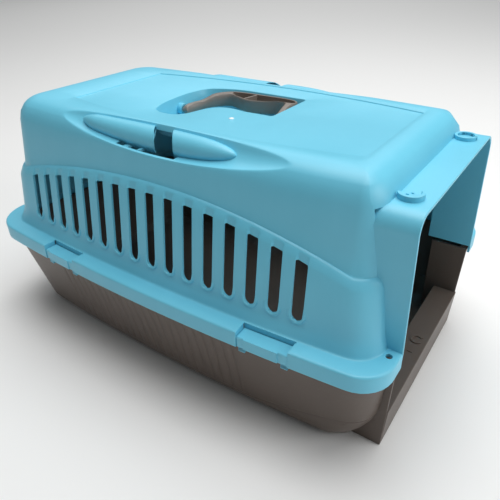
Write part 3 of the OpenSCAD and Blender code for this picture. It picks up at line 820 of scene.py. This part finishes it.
def spline(p, n):
    """A smooth open curve through the points p, with n pieces between neighbours."""
    out = []
    for i in range(len(p) - 1):
        a, b, c, d = p[max(i - 1, 0)], p[i], p[i + 1], p[min(i + 2, len(p) - 1)]
        for t in (k / n for k in range(n)):
            out.append(0.5 * (2 * b + (c - a) * t + (2 * a - 5 * b + 4 * c - d) * t * t
                              + (3 * b - a - 3 * c + d) * t ** 3))
    return out + [p[-1]]


def grown(loop, t):
    """A closed loop moved outward by t, corner by corner."""
    out = []
    for i, p in enumerate(loop):
        before, after = (p - loop[i - 1]).normalized(), (loop[(i + 1) % len(loop)] - p).normalized()
        along = (before + after).normalized()
        out.append(p + Vector((along.y, -along.x)) * t / max(0.4, along.dot(after)))
    return out


def rounded_corner(a, corner, b, r, n=4):
    """Points of an arc-like curve that replaces a square corner."""
    start = corner + (a - corner).normalized() * r
    end = corner + (b - corner).normalized() * r
    return [start * (1 - t) ** 2 + corner * (2 * t * (1 - t)) + end * t * t
            for t in (k / n for k in range(n + 1))]


def recess_loop():
    rear, near = spline(on_handle(recess_rear), 5), spline(on_handle(recess_near), 5)
    front_low, front_high, far = on_handle([(0.54, -0.17), (0.54, 1.08), (-0.02, 1.08)])
    points = rounded_corner(near[-1], front_low, front_high, 3)
    points += rounded_corner(front_low, front_high, far, 4) + [far] + rear + near
    area = sum(p.x * q.y - q.x * p.y for p, q in zip(points, points[1:] + points[:1]))
    return points if area > 0 else points[::-1]


def cut_recess(bm):
    outline = recess_loop()
    top = ROOF_Z - PANEL_D
    floor_z = ROOF_Z - RECESS_DEPTH
    rings = [(1.3, top), (0.5, top - 0.25), (0, top - 1.1), (-0.4, floor_z + 3), (-1.2, floor_z + 0.9),
             (-3, floor_z)]
    number = bm.verts.layers.int.new("number")
    panel_edges = [e for e in bm.edges if e.is_boundary and all(abs(v.co.z - top) < 0.01 for v in e.verts)]
    lip = [bm.verts.new((*p, top)) for p in grown(outline, rings[0][0])]
    for i, v in enumerate(lip):
        v[number] = i
    edges = [bm.edges.new((a, b)) for a, b in zip(lip, lip[1:] + lip[:1])]
    bmesh.ops.triangle_fill(bm, edges=panel_edges + edges, use_beauty=True, use_dissolve=False)
    for out, z in rings[1:]:
        made = bmesh.ops.extrude_edge_only(bm, edges=edges)["geom"]
        edges = [g for g in made if isinstance(g, bmesh.types.BMEdge)
                 and abs(g.verts[0][number] - g.verts[1][number]) in (1, len(lip) - 1)]
        places = grown(outline, out)
        for v in [g for g in made if isinstance(g, bmesh.types.BMVert)]:
            v.co = (*places[v[number]], z)
    bmesh.ops.triangle_fill(bm, edges=edges, use_beauty=True, use_dissolve=False)
    return len(outline)


points_round = cut_recess(skin)
face_out(skin)
if max(skin.faces, key=lambda f: f.calc_center_median().z).normal.z < 0:
    bmesh.ops.reverse_faces(skin, faces=skin.faces[:])
shell = finish_piece("shell_moulding", skin, "shell", AQUA, wall=WALL, edge=0.55)
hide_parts("upper_shell")
print(f"recess outline of {points_round} points")

# %% [markdown]
# The lower end of every vent slot is rolled outward into a small lip, which catches the light. One lip is
# a little circle spun half round the end of the slot and run up its sides; it is built in the wall's own
# frame, with Y along the normal, and then set on the bowed, leaning wall.

# %% Lips of the vent slots
LIP_R, LIP_UP, LIP_OUT, LIP_Y, LIP_TAPER = 1.6, 9, 1.1, -0.3, 0.85


def slot_lip(bm):
    place = Matrix.Translation((-SLOT_R - LIP_OUT, LIP_Y, 0))
    circle = bmesh.ops.create_circle(bm, radius=LIP_R, segments=10, matrix=place)["verts"]
    first = list({e for v in circle for e in v.link_edges})
    made = bmesh.ops.spin(bm, geom=first, cent=(0, 0, 0), axis=(0, -1, 0), angle=math.pi, steps=14,
                          use_merge=False)
    last = [e for e in made["geom_last"] if isinstance(e, bmesh.types.BMEdge)]
    for ring in (first, last):
        grow = bmesh.ops.extrude_edge_only(bm, edges=ring)["geom"]
        tips = [g for g in grow if isinstance(g, bmesh.types.BMVert)]
        bmesh.ops.translate(bm, vec=(0, 0, LIP_UP), verts=tips)
        middle_y = sum(v.co.y for v in tips) / len(tips)
        for v in tips:
            v.co.y = mix(v.co.y, middle_y - LIP_R, LIP_TAPER)


def slot_lips():
    bm = bmesh.new()
    z = SLOT_Z + SLOT_R
    for middle in slot_middles:
        for side in (-1, 1):
            before = set(bm.verts)
            slot_lip(bm)
            fresh = [v for v in bm.verts if v not in before]
            y = side_y(BELLY_HALF_W - LEAN * (z - RIM_Z), middle)
            lean = Matrix.Rotation(math.atan(LEAN), 4, "X")
            turn = Matrix.Rotation(-math.copysign(side_turn(middle), middle), 4, "Z")
            place = Matrix.Translation((middle, y, z)) @ turn @ lean
            if side < 0:
                place = Matrix.Diagonal((1, -1, 1, 1)) @ place
            bmesh.ops.transform(bm, matrix=place, verts=fresh)
    face_out(bm)
    return finish_piece("slot_lips", bm, "shell", AQUA, edge=0)


slot_lips()

# %% [markdown]
# The frame round the doorway is a flat strip bent over two corners. A chain of edges follows the arch
# and is extruded along the body, its front edge is raked, and Solidify gives it the frame's thickness.

# %% The doorway frame
FRAME_TOP, FRAME_R, FRAME_BACK, FRAME_RAKE = 230, 15, HALF_L - 45, 2.5
LEG_FOOT = RIM_Z - 8


def arch(bm, x):
    left = [Vector((x, -FRAME_HALF_W, LEG_FOOT)), Vector((x, -FRAME_HALF_W, RIM_Z))]
    for k in range(9):
        a = math.pi - math.pi / 2 * k / 8
        left.append(Vector((x, -FRAME_HALF_W + FRAME_R + FRAME_R * math.cos(a),
                            FRAME_TOP - FRAME_R + FRAME_R * math.sin(a))))
    chain = left + [Vector((x, -p.y, p.z)) for p in reversed(left)]
    verts = [bm.verts.new(p) for p in chain]
    return [bm.edges.new((a, b)) for a, b in zip(verts, verts[1:])]


def doorway_frame():
    bm = bmesh.new()
    made = bmesh.ops.extrude_edge_only(bm, edges=arch(bm, FRAME_BACK))["geom"]
    for v in [g for g in made if isinstance(g, bmesh.types.BMVert)]:
        v.co.x = HALF_L - FRAME_RAKE * max(0, v.co.z - RIM_Z) / (FRAME_TOP - RIM_Z)
    face_out(bm)
    top = max(bm.faces, key=lambda f: f.calc_center_median().z)
    if top.normal.z < 0:
        bmesh.ops.reverse_faces(bm, faces=bm.faces[:])
    return finish_piece("doorway_frame", bm, "shell", AQUA, wall=FRAME_T, edge=0.7,
                        segments=3)


doorway_frame()

# %% [markdown]
# Two ring bosses stand on the frame. Each is a square profile spun most of the way round, which leaves
# the gap of the C open, and a low disc closes its middle.

# %% Ring bosses
RING_X, RING_Y, RING_R, RING_WALL, RING_H = HALF_L - 20.5, 73, 10, 2.6, 4.4
RING_SUNK, DISC_H = 0.8, 1.4
PIP_R, PIP_H, PIPS = 1.1, 1.6, ((95, 5.2), (150, 3.6))


def ring_boss(name, side, first, sweep, height):
    bm = bmesh.new()
    z0 = FRAME_TOP - RING_SUNK
    inner, top = RING_R - RING_WALL, FRAME_TOP + height
    profile = [(inner, z0), (RING_R, z0), (RING_R, top), (inner, top)]
    verts = [bm.verts.new((RING_X + r, side * RING_Y, z)) for r, z in profile]
    face = bm.faces.new(verts)
    centre = (RING_X, side * RING_Y, 0)
    bmesh.ops.rotate(bm, cent=centre, matrix=Matrix.Rotation(math.radians(first), 3, "Z"), verts=verts)
    full = sweep == 360
    bmesh.ops.spin(bm, geom=[face], cent=centre, axis=(0, 0, 1), angle=math.radians(sweep), steps=40,
                   use_merge=full)
    if full:
        bmesh.ops.delete(bm, geom=[f for f in bm.faces if f == face], context="FACES_ONLY")
    rod(bm, (RING_X, side * RING_Y, FRAME_TOP), "Z", inner + 0.3, DISC_H, 40)
    if not full:
        for turn, reach in PIPS:
            a = math.radians(turn)
            at = (RING_X + reach * math.cos(a), side * RING_Y + reach * math.sin(a), FRAME_TOP + PIP_H / 2)
            rod(bm, at, "Z", PIP_R, PIP_H, 16)
    face_out(bm)
    return finish_piece(name, bm, "shell", AQUA, edge=0.35)


ring_boss("ring_boss_right", -1, -160, 200, RING_H)
ring_boss("ring_boss_left", 1, 0, 360, RING_H - 1)

# %% [markdown]
# The rolled bars in each scoop are one long egg of thin sheet that rests on the hollow. A sphere is
# stretched so that its middle line follows the hollow, and it is cut by two planes, which leaves the gap.
# The part that would lie behind the hollow is removed, and Solidify gives the sheet its thickness.

# %% Rolled bars
BAR_R, BAR_L, BAR_X, BAR_GAP = 12.3, 92, -5.2, (-8.6, 13.6)
BAR_LEAN = math.radians(229)
CUT_SKEW = 0.72
SHEET_FROM, SHEET_TO = -46, 146
POSTS, POST_Z, POST_IN = ((-32, -26), (-13.5, -10)), (229.6, 231.8), 4.4


def bar_middle(x):
    r = scoop_radius(x)
    y = side_y(ROOF_HALF_W, x) - SHOULDER_R + SCOOP_OUT + r * math.cos(BAR_LEAN)
    return Vector((x, y, ROOF_Z + SCOOP_UP + r * math.sin(BAR_LEAN)))


def bar_place(u, ring):
    """A point of the bar: u runs along it from -1 to 1, ring is the direction round it."""
    middle = bar_middle(BAR_X + BAR_L * u)
    fat = min(BAR_R * max(0.0, 1 - abs(u) ** 3) ** 0.55, ROOF_Z - 0.2 - middle.z)
    return middle + Vector((0, fat * ring[0], fat * ring[1]))


def rolled_bar(side, end):
    bm = bmesh.new()
    bmesh.ops.create_uvsphere(bm, u_segments=48, v_segments=60, radius=1)
    bmesh.ops.rotate(bm, cent=(0, 0, 0), matrix=Matrix.Rotation(math.pi / 2, 3, "Y"), verts=bm.verts[:])
    for v in bm.verts:
        ring = Vector((v.co.y, v.co.z))
        v.co = bar_place(v.co.x, ring.normalized() if ring.length > 0.001 else (0, 0))
    cut = BAR_GAP[1] if end > 0 else BAR_GAP[0]
    bmesh.ops.bisect_plane(bm, geom=bm.verts[:] + bm.edges[:] + bm.faces[:],
                           plane_co=(cut, ROOF_HALF_W - SHOULDER_R - 2, 0),
                           plane_no=(-end, end * CUT_SKEW, 0), clear_outer=True)
    buried = []
    for f in bm.faces:
        at = f.calc_center_median()
        away = at - bar_middle(at.x)
        if not SHEET_FROM < math.degrees(math.atan2(away.z, away.y)) < SHEET_TO:
            buried.append(f)
    bmesh.ops.delete(bm, geom=buried, context="FACES")
    if side < 0:
        bmesh.ops.scale(bm, vec=(1, -1, 1), verts=bm.verts[:])
    face_out(bm)
    if max(bm.faces, key=lambda f: f.calc_center_median().z).normal.z < 0:
        bmesh.ops.reverse_faces(bm, faces=bm.faces[:])
    name = f"rolled_bar_{'right' if side < 0 else 'left'}_{'front' if end > 0 else 'rear'}"
    return finish_piece(name, bm, "shell", AQUA, wall=1, edge=0.25, angle=50)


def slot_posts():
    bm = bmesh.new()
    for low, high in POSTS:
        for side in (-1, 1):
            y = side_y(ROOF_HALF_W, low) - SHOULDER_R + SCOOP_OUT - POST_IN
            ys = sorted((side * (y - 4), side * (y + 3)))
            box(bm, (low, ys[0], POST_Z[0]), (high, ys[1], POST_Z[1]))
    face_out(bm)
    return finish_piece("slot_posts", bm, "shell", AQUA, edge=0.4)


for side in (-1, 1):
    for end in (-1, 1):
        rolled_bar(side, end)
slot_posts()

# %% [markdown]
# Where a clip sits, the rim ends in two ears that carry the hinge pins. A part at the rim is drawn in
# its own small frame, with Y pointing outward, and then turned to the bow of the rim.

# %% Parts placed at the rim
CLIP_DROP, CLIP_PIN_R, HOOK_D, HOOK_DROP = 5, 1.3, 4, 5.5
CLIP_AXIS_Y = -RIM_FLAT + 3
CLIP_AXIS_Z = RIM_Z - CLIP_DROP - 1.8
EAR_T = 3


def at_rim(bm, verts, x, side):
    turn = Matrix.Rotation(-math.copysign(side_turn(x), x), 4, "Z")
    place = Matrix.Translation((x, side_y(HALF_W, x), 0)) @ turn
    if side < 0:
        place = Matrix.Diagonal((1, -1, 1, 1)) @ place
    bmesh.ops.transform(bm, matrix=place, verts=verts)


def clip_ears():
    bm = bmesh.new()
    for x in CLIP_X:
        for side in (-1, 1):
            for end in (-1, 1):
                inner = CLIP_L / 2 + CLIP_GAP
                xs = sorted((end * inner, end * (inner + EAR_T)))
                low = (xs[0], -RIM_FLAT + 0.6, SKIRT_Z + 1)
                high = (xs[1], -0.25, RIM_Z - 0.25)
                at_rim(bm, box(bm, low, high), x, side)
    face_out(bm)
    return finish_piece("clip_ears", bm, "shell", AQUA, edge=0.5)


clip_ears()

# %% [markdown]
# A clip is one folded profile drawn along the rim: a flat back over the hinge pin and a pad that hangs
# outside. Two hooks reach under the tub's flange, and the pin runs through both ears.

# %% The four clips
CLIP_BACK, PAD_T, HOOK_L = -14, 0.9, 7


def rim_clip(name, x, side):
    bm = bmesh.new()
    top, low = RIM_Z - CLIP_DROP, SKIRT_Z + 0.2
    profile = [(CLIP_BACK, top), (-PAD_T - 0.8, top), (-PAD_T, top - 0.8), (-PAD_T, low), (-WALL - 0.4, low),
               (-WALL - 0.4, top - WALL), (CLIP_BACK, top - WALL)]
    start = [bm.verts.new((-CLIP_L / 2, y, z)) for y, z in profile]
    made = bmesh.ops.extrude_face_region(bm, geom=[bm.faces.new(start)])["geom"]
    bmesh.ops.translate(bm, vec=(CLIP_L, 0, 0), verts=[g for g in made if isinstance(g, bmesh.types.BMVert)])
    box(bm, (-CLIP_L * 0.36, -WALL, low - 0.15), (CLIP_L * 0.31, 0, top - 0.1))
    for end in (-1, 1):
        xs = sorted((end * (CLIP_L / 2 - 0.5), end * (CLIP_L / 2 - HOOK_L)))
        box(bm, (xs[0], -WALL - HOOK_D, SKIRT_Z - HOOK_DROP), (xs[1], -WALL + 0.3, SKIRT_Z - 0.5))
        box(bm, (xs[0], -WALL - 0.6, SKIRT_Z - HOOK_DROP + 0.5), (xs[1], -WALL + 0.3, low + 2))
    rod(bm, (0, CLIP_AXIS_Y, CLIP_AXIS_Z), "X", CLIP_PIN_R + 0.5, CLIP_L - 0.2, 24)
    rod(bm, (0, CLIP_AXIS_Y, CLIP_AXIS_Z), "X", CLIP_PIN_R, CLIP_L + 2 * CLIP_GAP + 2 * EAR_T - 1, 24)
    at_rim(bm, bm.verts[:], x, side)
    face_out(bm)
    clip = finish_piece(name + "_moulding", bm, name, AQUA, edge=0.4)
    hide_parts(name)


for name, x, side in (("clip_rear_right", CLIP_X[0], -1), ("clip_rear_left", CLIP_X[0], 1),
                      ("clip_front_right", CLIP_X[1], -1), ("clip_front_left", CLIP_X[1], 1)):
    rim_clip(name, x, side)

# %% [markdown]
# The carry handle is a channel: two edges seen from above are joined by one closed section, round in
# the arms and U-shaped in the grip. The section is a strip of the grid wrapped round on itself, so the
# same grid operator makes it, and the seam is merged afterwards.

# %% The carry handle
PIVOT_Z, PIVOT_R, EYE_R = ROOF_Z - 14, 3, 5
HANDLE_TOP, GRIP_H, GRIP_WALL = ROOF_Z - 2.3, 13.5, 2.2
far_points = [(-0.494, -0.1), (-0.494, 0.12), (-0.425, 0.44), (-0.31, 0.85), (-0.18, 1), (0.16, 1.04),
              (0.39, 1.03), (0.49, 0.925), (0.5, 0.65), (0.5, -0.1)]
near_points = [(-0.43, -0.1), (-0.42, 0.1), (-0.355, 0.35), (-0.23, 0.68), (-0.125, 0.68), (0.053, 0.55),
               (0.21, 0.63), (0.335, 0.77), (0.415, 0.66), (0.43, -0.1)]
EDGE_STEPS = 5
far_edge = spline(on_handle(far_points), EDGE_STEPS)
near_edge = spline(on_handle(near_points), EDGE_STEPS)
CHANNEL = (int(3.6 * EDGE_STEPS), int(7.7 * EDGE_STEPS))
RIB_AT, RIB_T, PIN_L = int(4.7 * EDGE_STEPS), 2.2, 10.4


def handle_heights(y):
    """Top and bottom of the folded handle at y: an eye round the pivot that deepens into the grip."""
    if y < PIVOT_Y:
        half = math.sqrt(max(1.2, EYE_R ** 2 - (y - PIVOT_Y) ** 2))
        return PIVOT_Z + half, PIVOT_Z - half
    share = (y - PIVOT_Y) / HANDLE_W
    top = mix(PIVOT_Z + EYE_R, PIVOT_Z + EYE_R + 1.5, min(1, share / 0.33))
    top = mix(top, HANDLE_TOP, smooth((share - 0.3) / 0.33))
    return top, mix(PIVOT_Z - EYE_R, HANDLE_TOP - GRIP_H, smooth(share / 0.5))


def handle_section(i):
    """The closed section at edge point i: shares across from the far edge, and heights."""
    far, near = far_edge[i], near_edge[i]
    top, low = handle_heights((far.y + near.y) / 2)
    width = (near - far).length
    open_share = smooth((i - CHANNEL[0]) / 2.5) * smooth((CHANNEL[1] - i) / 2.5)
    r = min(mix(3.4, 1.4, open_share), 0.42 * (top - low))
    depth = (top - low - GRIP_WALL) * open_share
    w = mix(r, GRIP_WALL, open_share)
    c = r * 0.3
    lip = top - depth * 0.04
    near_side = [(width - r, low), (width - c, low + c), (width, low + r), (width, top - r),
                 (width - c, top - c), (width - w * 0.55, top), (width - w, lip),
                 (width - w - 0.3, top - depth)]
    far_side = [(w + 0.3, top - depth), (w, lip), (w * 0.55, top), (c, top - c), (0, top - r)]
    places = [(0, low + r), (c, low + c), (r, low)] + near_side + far_side
    return [Vector((*(far + (near - far) * (a / width)), z)) for a, z in places]


def carry_handle():
    bm = bmesh.new()
    sections = [handle_section(i) for i in range(len(far_edge))]
    around = len(sections[0])
    bmesh.ops.create_grid(bm, x_segments=len(sections) - 1, y_segments=around, size=1)
    for v in bm.verts:
        i, k = round((v.co.x + 1) / 2 * (len(sections) - 1)), round((v.co.y + 1) / 2 * around)
        v.co = sections[i][k % around]
    bmesh.ops.remove_doubles(bm, verts=bm.verts[:], dist=0.01)
    bmesh.ops.holes_fill(bm, edges=[e for e in bm.edges if e.is_boundary], sides=0)
    i = RIB_AT
    rib = near_edge[i] - far_edge[i]
    across = math.atan2(rib.y, rib.x)
    verts = box(bm, (1, -RIB_T / 2, HANDLE_TOP - GRIP_H + 1), (rib.length - 1, RIB_T / 2, HANDLE_TOP - 0.8))
    place = Matrix.Translation((*far_edge[i], 0)) @ Matrix.Rotation(across, 4, "Z")
    bmesh.ops.transform(bm, verts=verts, matrix=place)
    for x in (HANDLE_X - HANDLE_L / 2 - 0.6, HANDLE_X + HANDLE_L / 2 + 0.4):
        rod(bm, (x, PIVOT_Y, PIVOT_Z), "X", PIVOT_R, PIN_L)
    face_out(bm)
    handle = finish_piece("handle_moulding", bm, "handle", TAUPE, edge=0.35, angle=50)
    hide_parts("carry_handle")


carry_handle()

# %% [markdown]
# The handle's pins turn in two round bosses that stand in the ends of the recess.

# %% Pivot bosses in the recess
BOSS_LENGTHS, BOSS_GAP, BOSS_WALL = (7, 5), 0.5, 3


def pivot_bosses():
    bm = bmesh.new()
    left, right = HANDLE_X - HANDLE_L / 2, HANDLE_X + HANDLE_L / 2
    for start, way, length in ((left, -1, BOSS_LENGTHS[0]), (right, 1, BOSS_LENGTHS[1])):
        centre = (start + way * (BOSS_GAP + length / 2), PIVOT_Y, PIVOT_Z)
        rod(bm, centre, "X", PIVOT_R + BOSS_WALL, length, 40)
    face_out(bm)
    return finish_piece("pivot_bosses", bm, "shell", AQUA, edge=0.7)


pivot_bosses()

# %% [markdown]
# The tub is a second skin on the same outline rule. From the top: the wall inside the shell, the flange
# under the rim, the tapered wall with its shallow upright grooves, the long shallow line that rises
# round the front corners, and the rounded lower edge. The floor is filled last.

# %% Rows of the tub
TUB_LEAN, TUB_SIDE, TUB_REAR, TUB_FRONT, TUB_EDGE_R = 0.196, 8, 8, 7, 12
TUB_R = (40, 30)
GROOVES, GROOVE_PITCH, GROOVE_X0, GROOVE_W, GROOVE_D = 22, 11, -124, 2.2, 0.7
UNDERCUT, UNDERCUT_Z = 19.5, 45
FLANGE_T, WALL_TOP = 3, SKIRT_Z + 5.5
RIM_INSET = 3
LINE_Z, LINE_RISE, LINE_START, LINE_END = 12.8, 24, 105, 206
GROOVE_TOP, GROOVE_LOW = 89.5, 17.5
FOOT_HEIGHTS = (7, 4.8, 3, 1.6, 0.6, 0)
groove_steps = (-GROOVE_PITCH / 2, -GROOVE_W / 2, 0, GROOVE_W / 2)
groove_xs = [GROOVE_X0 + k * GROOVE_PITCH + step for k in range(GROOVES) for step in groove_steps]
groove_xs.append(GROOVE_X0 + (GROOVES - 0.5) * GROOVE_PITCH)
tub_outline = Outline(groove_xs, rear_gap=4, front_gap=8, door_y=FRAME_HALF_W - 1.2)
groove_columns = {tub_outline.start[3] + 4 * k + 2 for k in range(GROOVES)}


def on_tub(c, z, inset=0.0, wall_z=None):
    wall_z = z if wall_z is None else wall_z
    lean = TUB_LEAN * (SKIRT_Z - wall_z)
    low = max(0.0, 1 - wall_z / TUB_EDGE_R)
    edge = TUB_EDGE_R * (1 - math.sqrt(1 - low * low))
    front = UNDERCUT * max(0.0, 1 - wall_z / UNDERCUT_Z) ** 2.2
    rear, ahead = -(HALF_L - TUB_REAR) + lean + edge + inset, HALF_L - TUB_FRONT - lean / 2 - front - inset
    x, y = tub_outline.at(c, rear, ahead, HALF_W - TUB_SIDE - lean - edge - inset, *TUB_R)
    return Vector((x, y, z))


def line_z(x):
    """Height of the shallow line at x: level along the side, rising towards the front corner."""
    along = max(0, min(x, LINE_END) - LINE_START) / (LINE_END - LINE_START)
    return LINE_Z + LINE_RISE * along ** 1.6


def tub_rim_row(z):
    def row(c):
        x, y = tub_outline.at(c, -HALF_L + RIM_INSET, HALF_L - RIM_INSET, HALF_W - RIM_INSET,
                              RIM_R[0] - RIM_INSET, RIM_R[1] - RIM_INSET)
        return Vector((x, y, z))
    return row


def tub_row(z, deep=0.0, above_line=None):
    def row(c):
        high = z
        if above_line is not None:
            high = max(z, line_z(on_tub(c, 30).x) + above_line)
        return on_tub(c, high, deep if c in groove_columns else 0.0)
    return row


def line_row(rise, deep):
    return lambda c: on_tub(c, line_z(on_tub(c, 30).x) + rise, deep)


def below_line_row(t):
    return lambda c: on_tub(c, mix(line_z(on_tub(c, 30).x) - 0.9, 9.5, t))


wall_rows = [lambda c: on_tub(c, WALL_TOP, 0, SKIRT_Z), lambda c: on_tub(c, SKIRT_Z + FLANGE_T, 0, SKIRT_Z),
             tub_rim_row(SKIRT_Z + FLANGE_T), tub_rim_row(SKIRT_Z + 0.2), tub_row(SKIRT_Z), tub_row(91),
             tub_row(GROOVE_TOP, GROOVE_D)]
wall_rows += [tub_row(mix(GROOVE_TOP, GROOVE_LOW, t), GROOVE_D, 6 - 3 * t) for t in (0.33, 0.66)]
wall_rows += [tub_row(17, GROOVE_D, 2.6), tub_row(15.5, 0, 1.6)]
wall_rows += [line_row(0.9, 0), line_row(0, 0.55), line_row(-0.9, 0)]
wall_rows += [below_line_row(t) for t in (0.33, 0.66, 1)]
wall_rows += [tub_row(z) for z in FOOT_HEIGHTS]
wall_rows += [lambda c: on_tub(c, 0, 10)]
print(f"{len(wall_rows)} tub rows, {tub_outline.last} columns")

# %% [markdown]
# The rows become a skin, the doorway is opened in its front, and its lowest edge is filled as the floor.

# %% Build the tub
def tub_skin():
    bm, column_of, row_of = half_skin(tub_outline, wall_rows)
    door = tub_outline.start[6]
    drop_cells(bm, column_of, row_of, (0, 9), lambda a, b: a >= door)
    mirror_skin(bm)
    floor = [e for e in bm.edges if e.is_boundary and all(abs(v.co.z) < 0.01 for v in e.verts)]
    bmesh.ops.triangle_fill(bm, edges=floor, use_beauty=True, use_dissolve=True)
    face_out(bm)
    low = min(bm.faces, key=lambda f: f.calc_center_median().z)
    if low.normal.z > 0:
        bmesh.ops.reverse_faces(bm, faces=bm.faces[:])
    return finish_piece("tub_moulding", bm, "shell", BROWN, wall=WALL, edge=0.4, angle=45)


tub = tub_skin()
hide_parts("tub")

# %% [markdown]
# The doorway's sill is a tray turned upside down between two upright jambs. Its front face rakes back
# towards the floor. The middle of the sill carries a small C-shaped ring for the bolt of a door.

# %% Sill and jambs
SILL_Z, SILL_D, SILL_RAKE, JAMB_UP, JAMB_D, JAMB_STEP = 43, 29, 7, 4, 40, 2.7
SILL_BACK = HALF_L - SILL_D
JAMB_TOP = SKIRT_Z + JAMB_UP
LATCH_X, LATCH_IN, LATCH_OUT = HALF_L - 14.5, 4.2, 6.6
GATE_AT, GATE_SIZE = (39, -38, ROOF_Z - PANEL_D), (2.6, 2.6, 1.0)


def rake_front(verts):
    for v in verts:
        if v.co.x > SILL_BACK + 1:
            v.co.x = HALF_L - SILL_RAKE * (1 - v.co.z / JAMB_TOP) - (JAMB_STEP if v.co.z > SKIRT_Z else 0)


def doorway_sill():
    bm = bmesh.new()
    tray = box(bm, (SILL_BACK, -FRAME_HALF_W + 1, 0), (HALF_L, FRAME_HALF_W - 1, SILL_Z))
    rake_front(tray)
    under = min(bm.faces, key=lambda f: f.calc_center_median().z)
    bmesh.ops.delete(bm, geom=[under], context="FACES_ONLY")
    face_out(bm)
    return finish_piece("doorway_sill", bm, "shell", BROWN, wall=WALL, edge=0.7, segments=3)


def doorway_jambs():
    bm = bmesh.new()
    for side in (-1, 1):
        ys = sorted((side * FRAME_HALF_W, side * (FRAME_HALF_W - FRAME_T)))
        verts = box(bm, (HALF_L - JAMB_D, ys[0], 0), (HALF_L, ys[1], JAMB_TOP))
        rake_front(verts)
    face_out(bm)
    return finish_piece("doorway_jambs", bm, "shell", BROWN, edge=0.5)


def latch_ring():
    """The C-shaped ring round the bolt hole in the sill, and the small bar beside it."""
    bm = bmesh.new()
    at = (LATCH_X, 0, 0)
    low, high = SILL_Z - 0.6, SILL_Z + 1.2
    profile = [(LATCH_IN, low), (LATCH_OUT, low), (LATCH_OUT, high), (LATCH_IN, high)]
    verts = [bm.verts.new((LATCH_X + r, 0, z)) for r, z in profile]
    face = bm.faces.new(verts)
    bmesh.ops.rotate(bm, cent=at, matrix=Matrix.Rotation(math.radians(40), 3, "Z"), verts=verts)
    bmesh.ops.spin(bm, geom=[face], cent=at, axis=(0, 0, 1), angle=math.radians(285), steps=36,
                   use_merge=False)
    box(bm, (LATCH_X - 2.6, -21, SILL_Z - 0.4), (LATCH_X + 2.6, -19.6, SILL_Z + 0.8))
    face_out(bm)
    return finish_piece("latch_ring", bm, "shell", BROWN, edge=0.3)


def gate_mark():
    bm = bmesh.new()
    bmesh.ops.create_uvsphere(bm, u_segments=24, v_segments=12, radius=1)
    bmesh.ops.scale(bm, vec=GATE_SIZE, verts=bm.verts[:])
    bmesh.ops.translate(bm, vec=GATE_AT, verts=bm.verts[:])
    # The dot takes the painted highlight colour, pale where the light glints on it, not the aqua of the
    # moulding.
    return finish_piece("gate_mark", bm, "shell", GATE_HIGHLIGHT_PAINT, edge=0)


doorway_sill()
doorway_jambs()
latch_ring()
gate_mark()
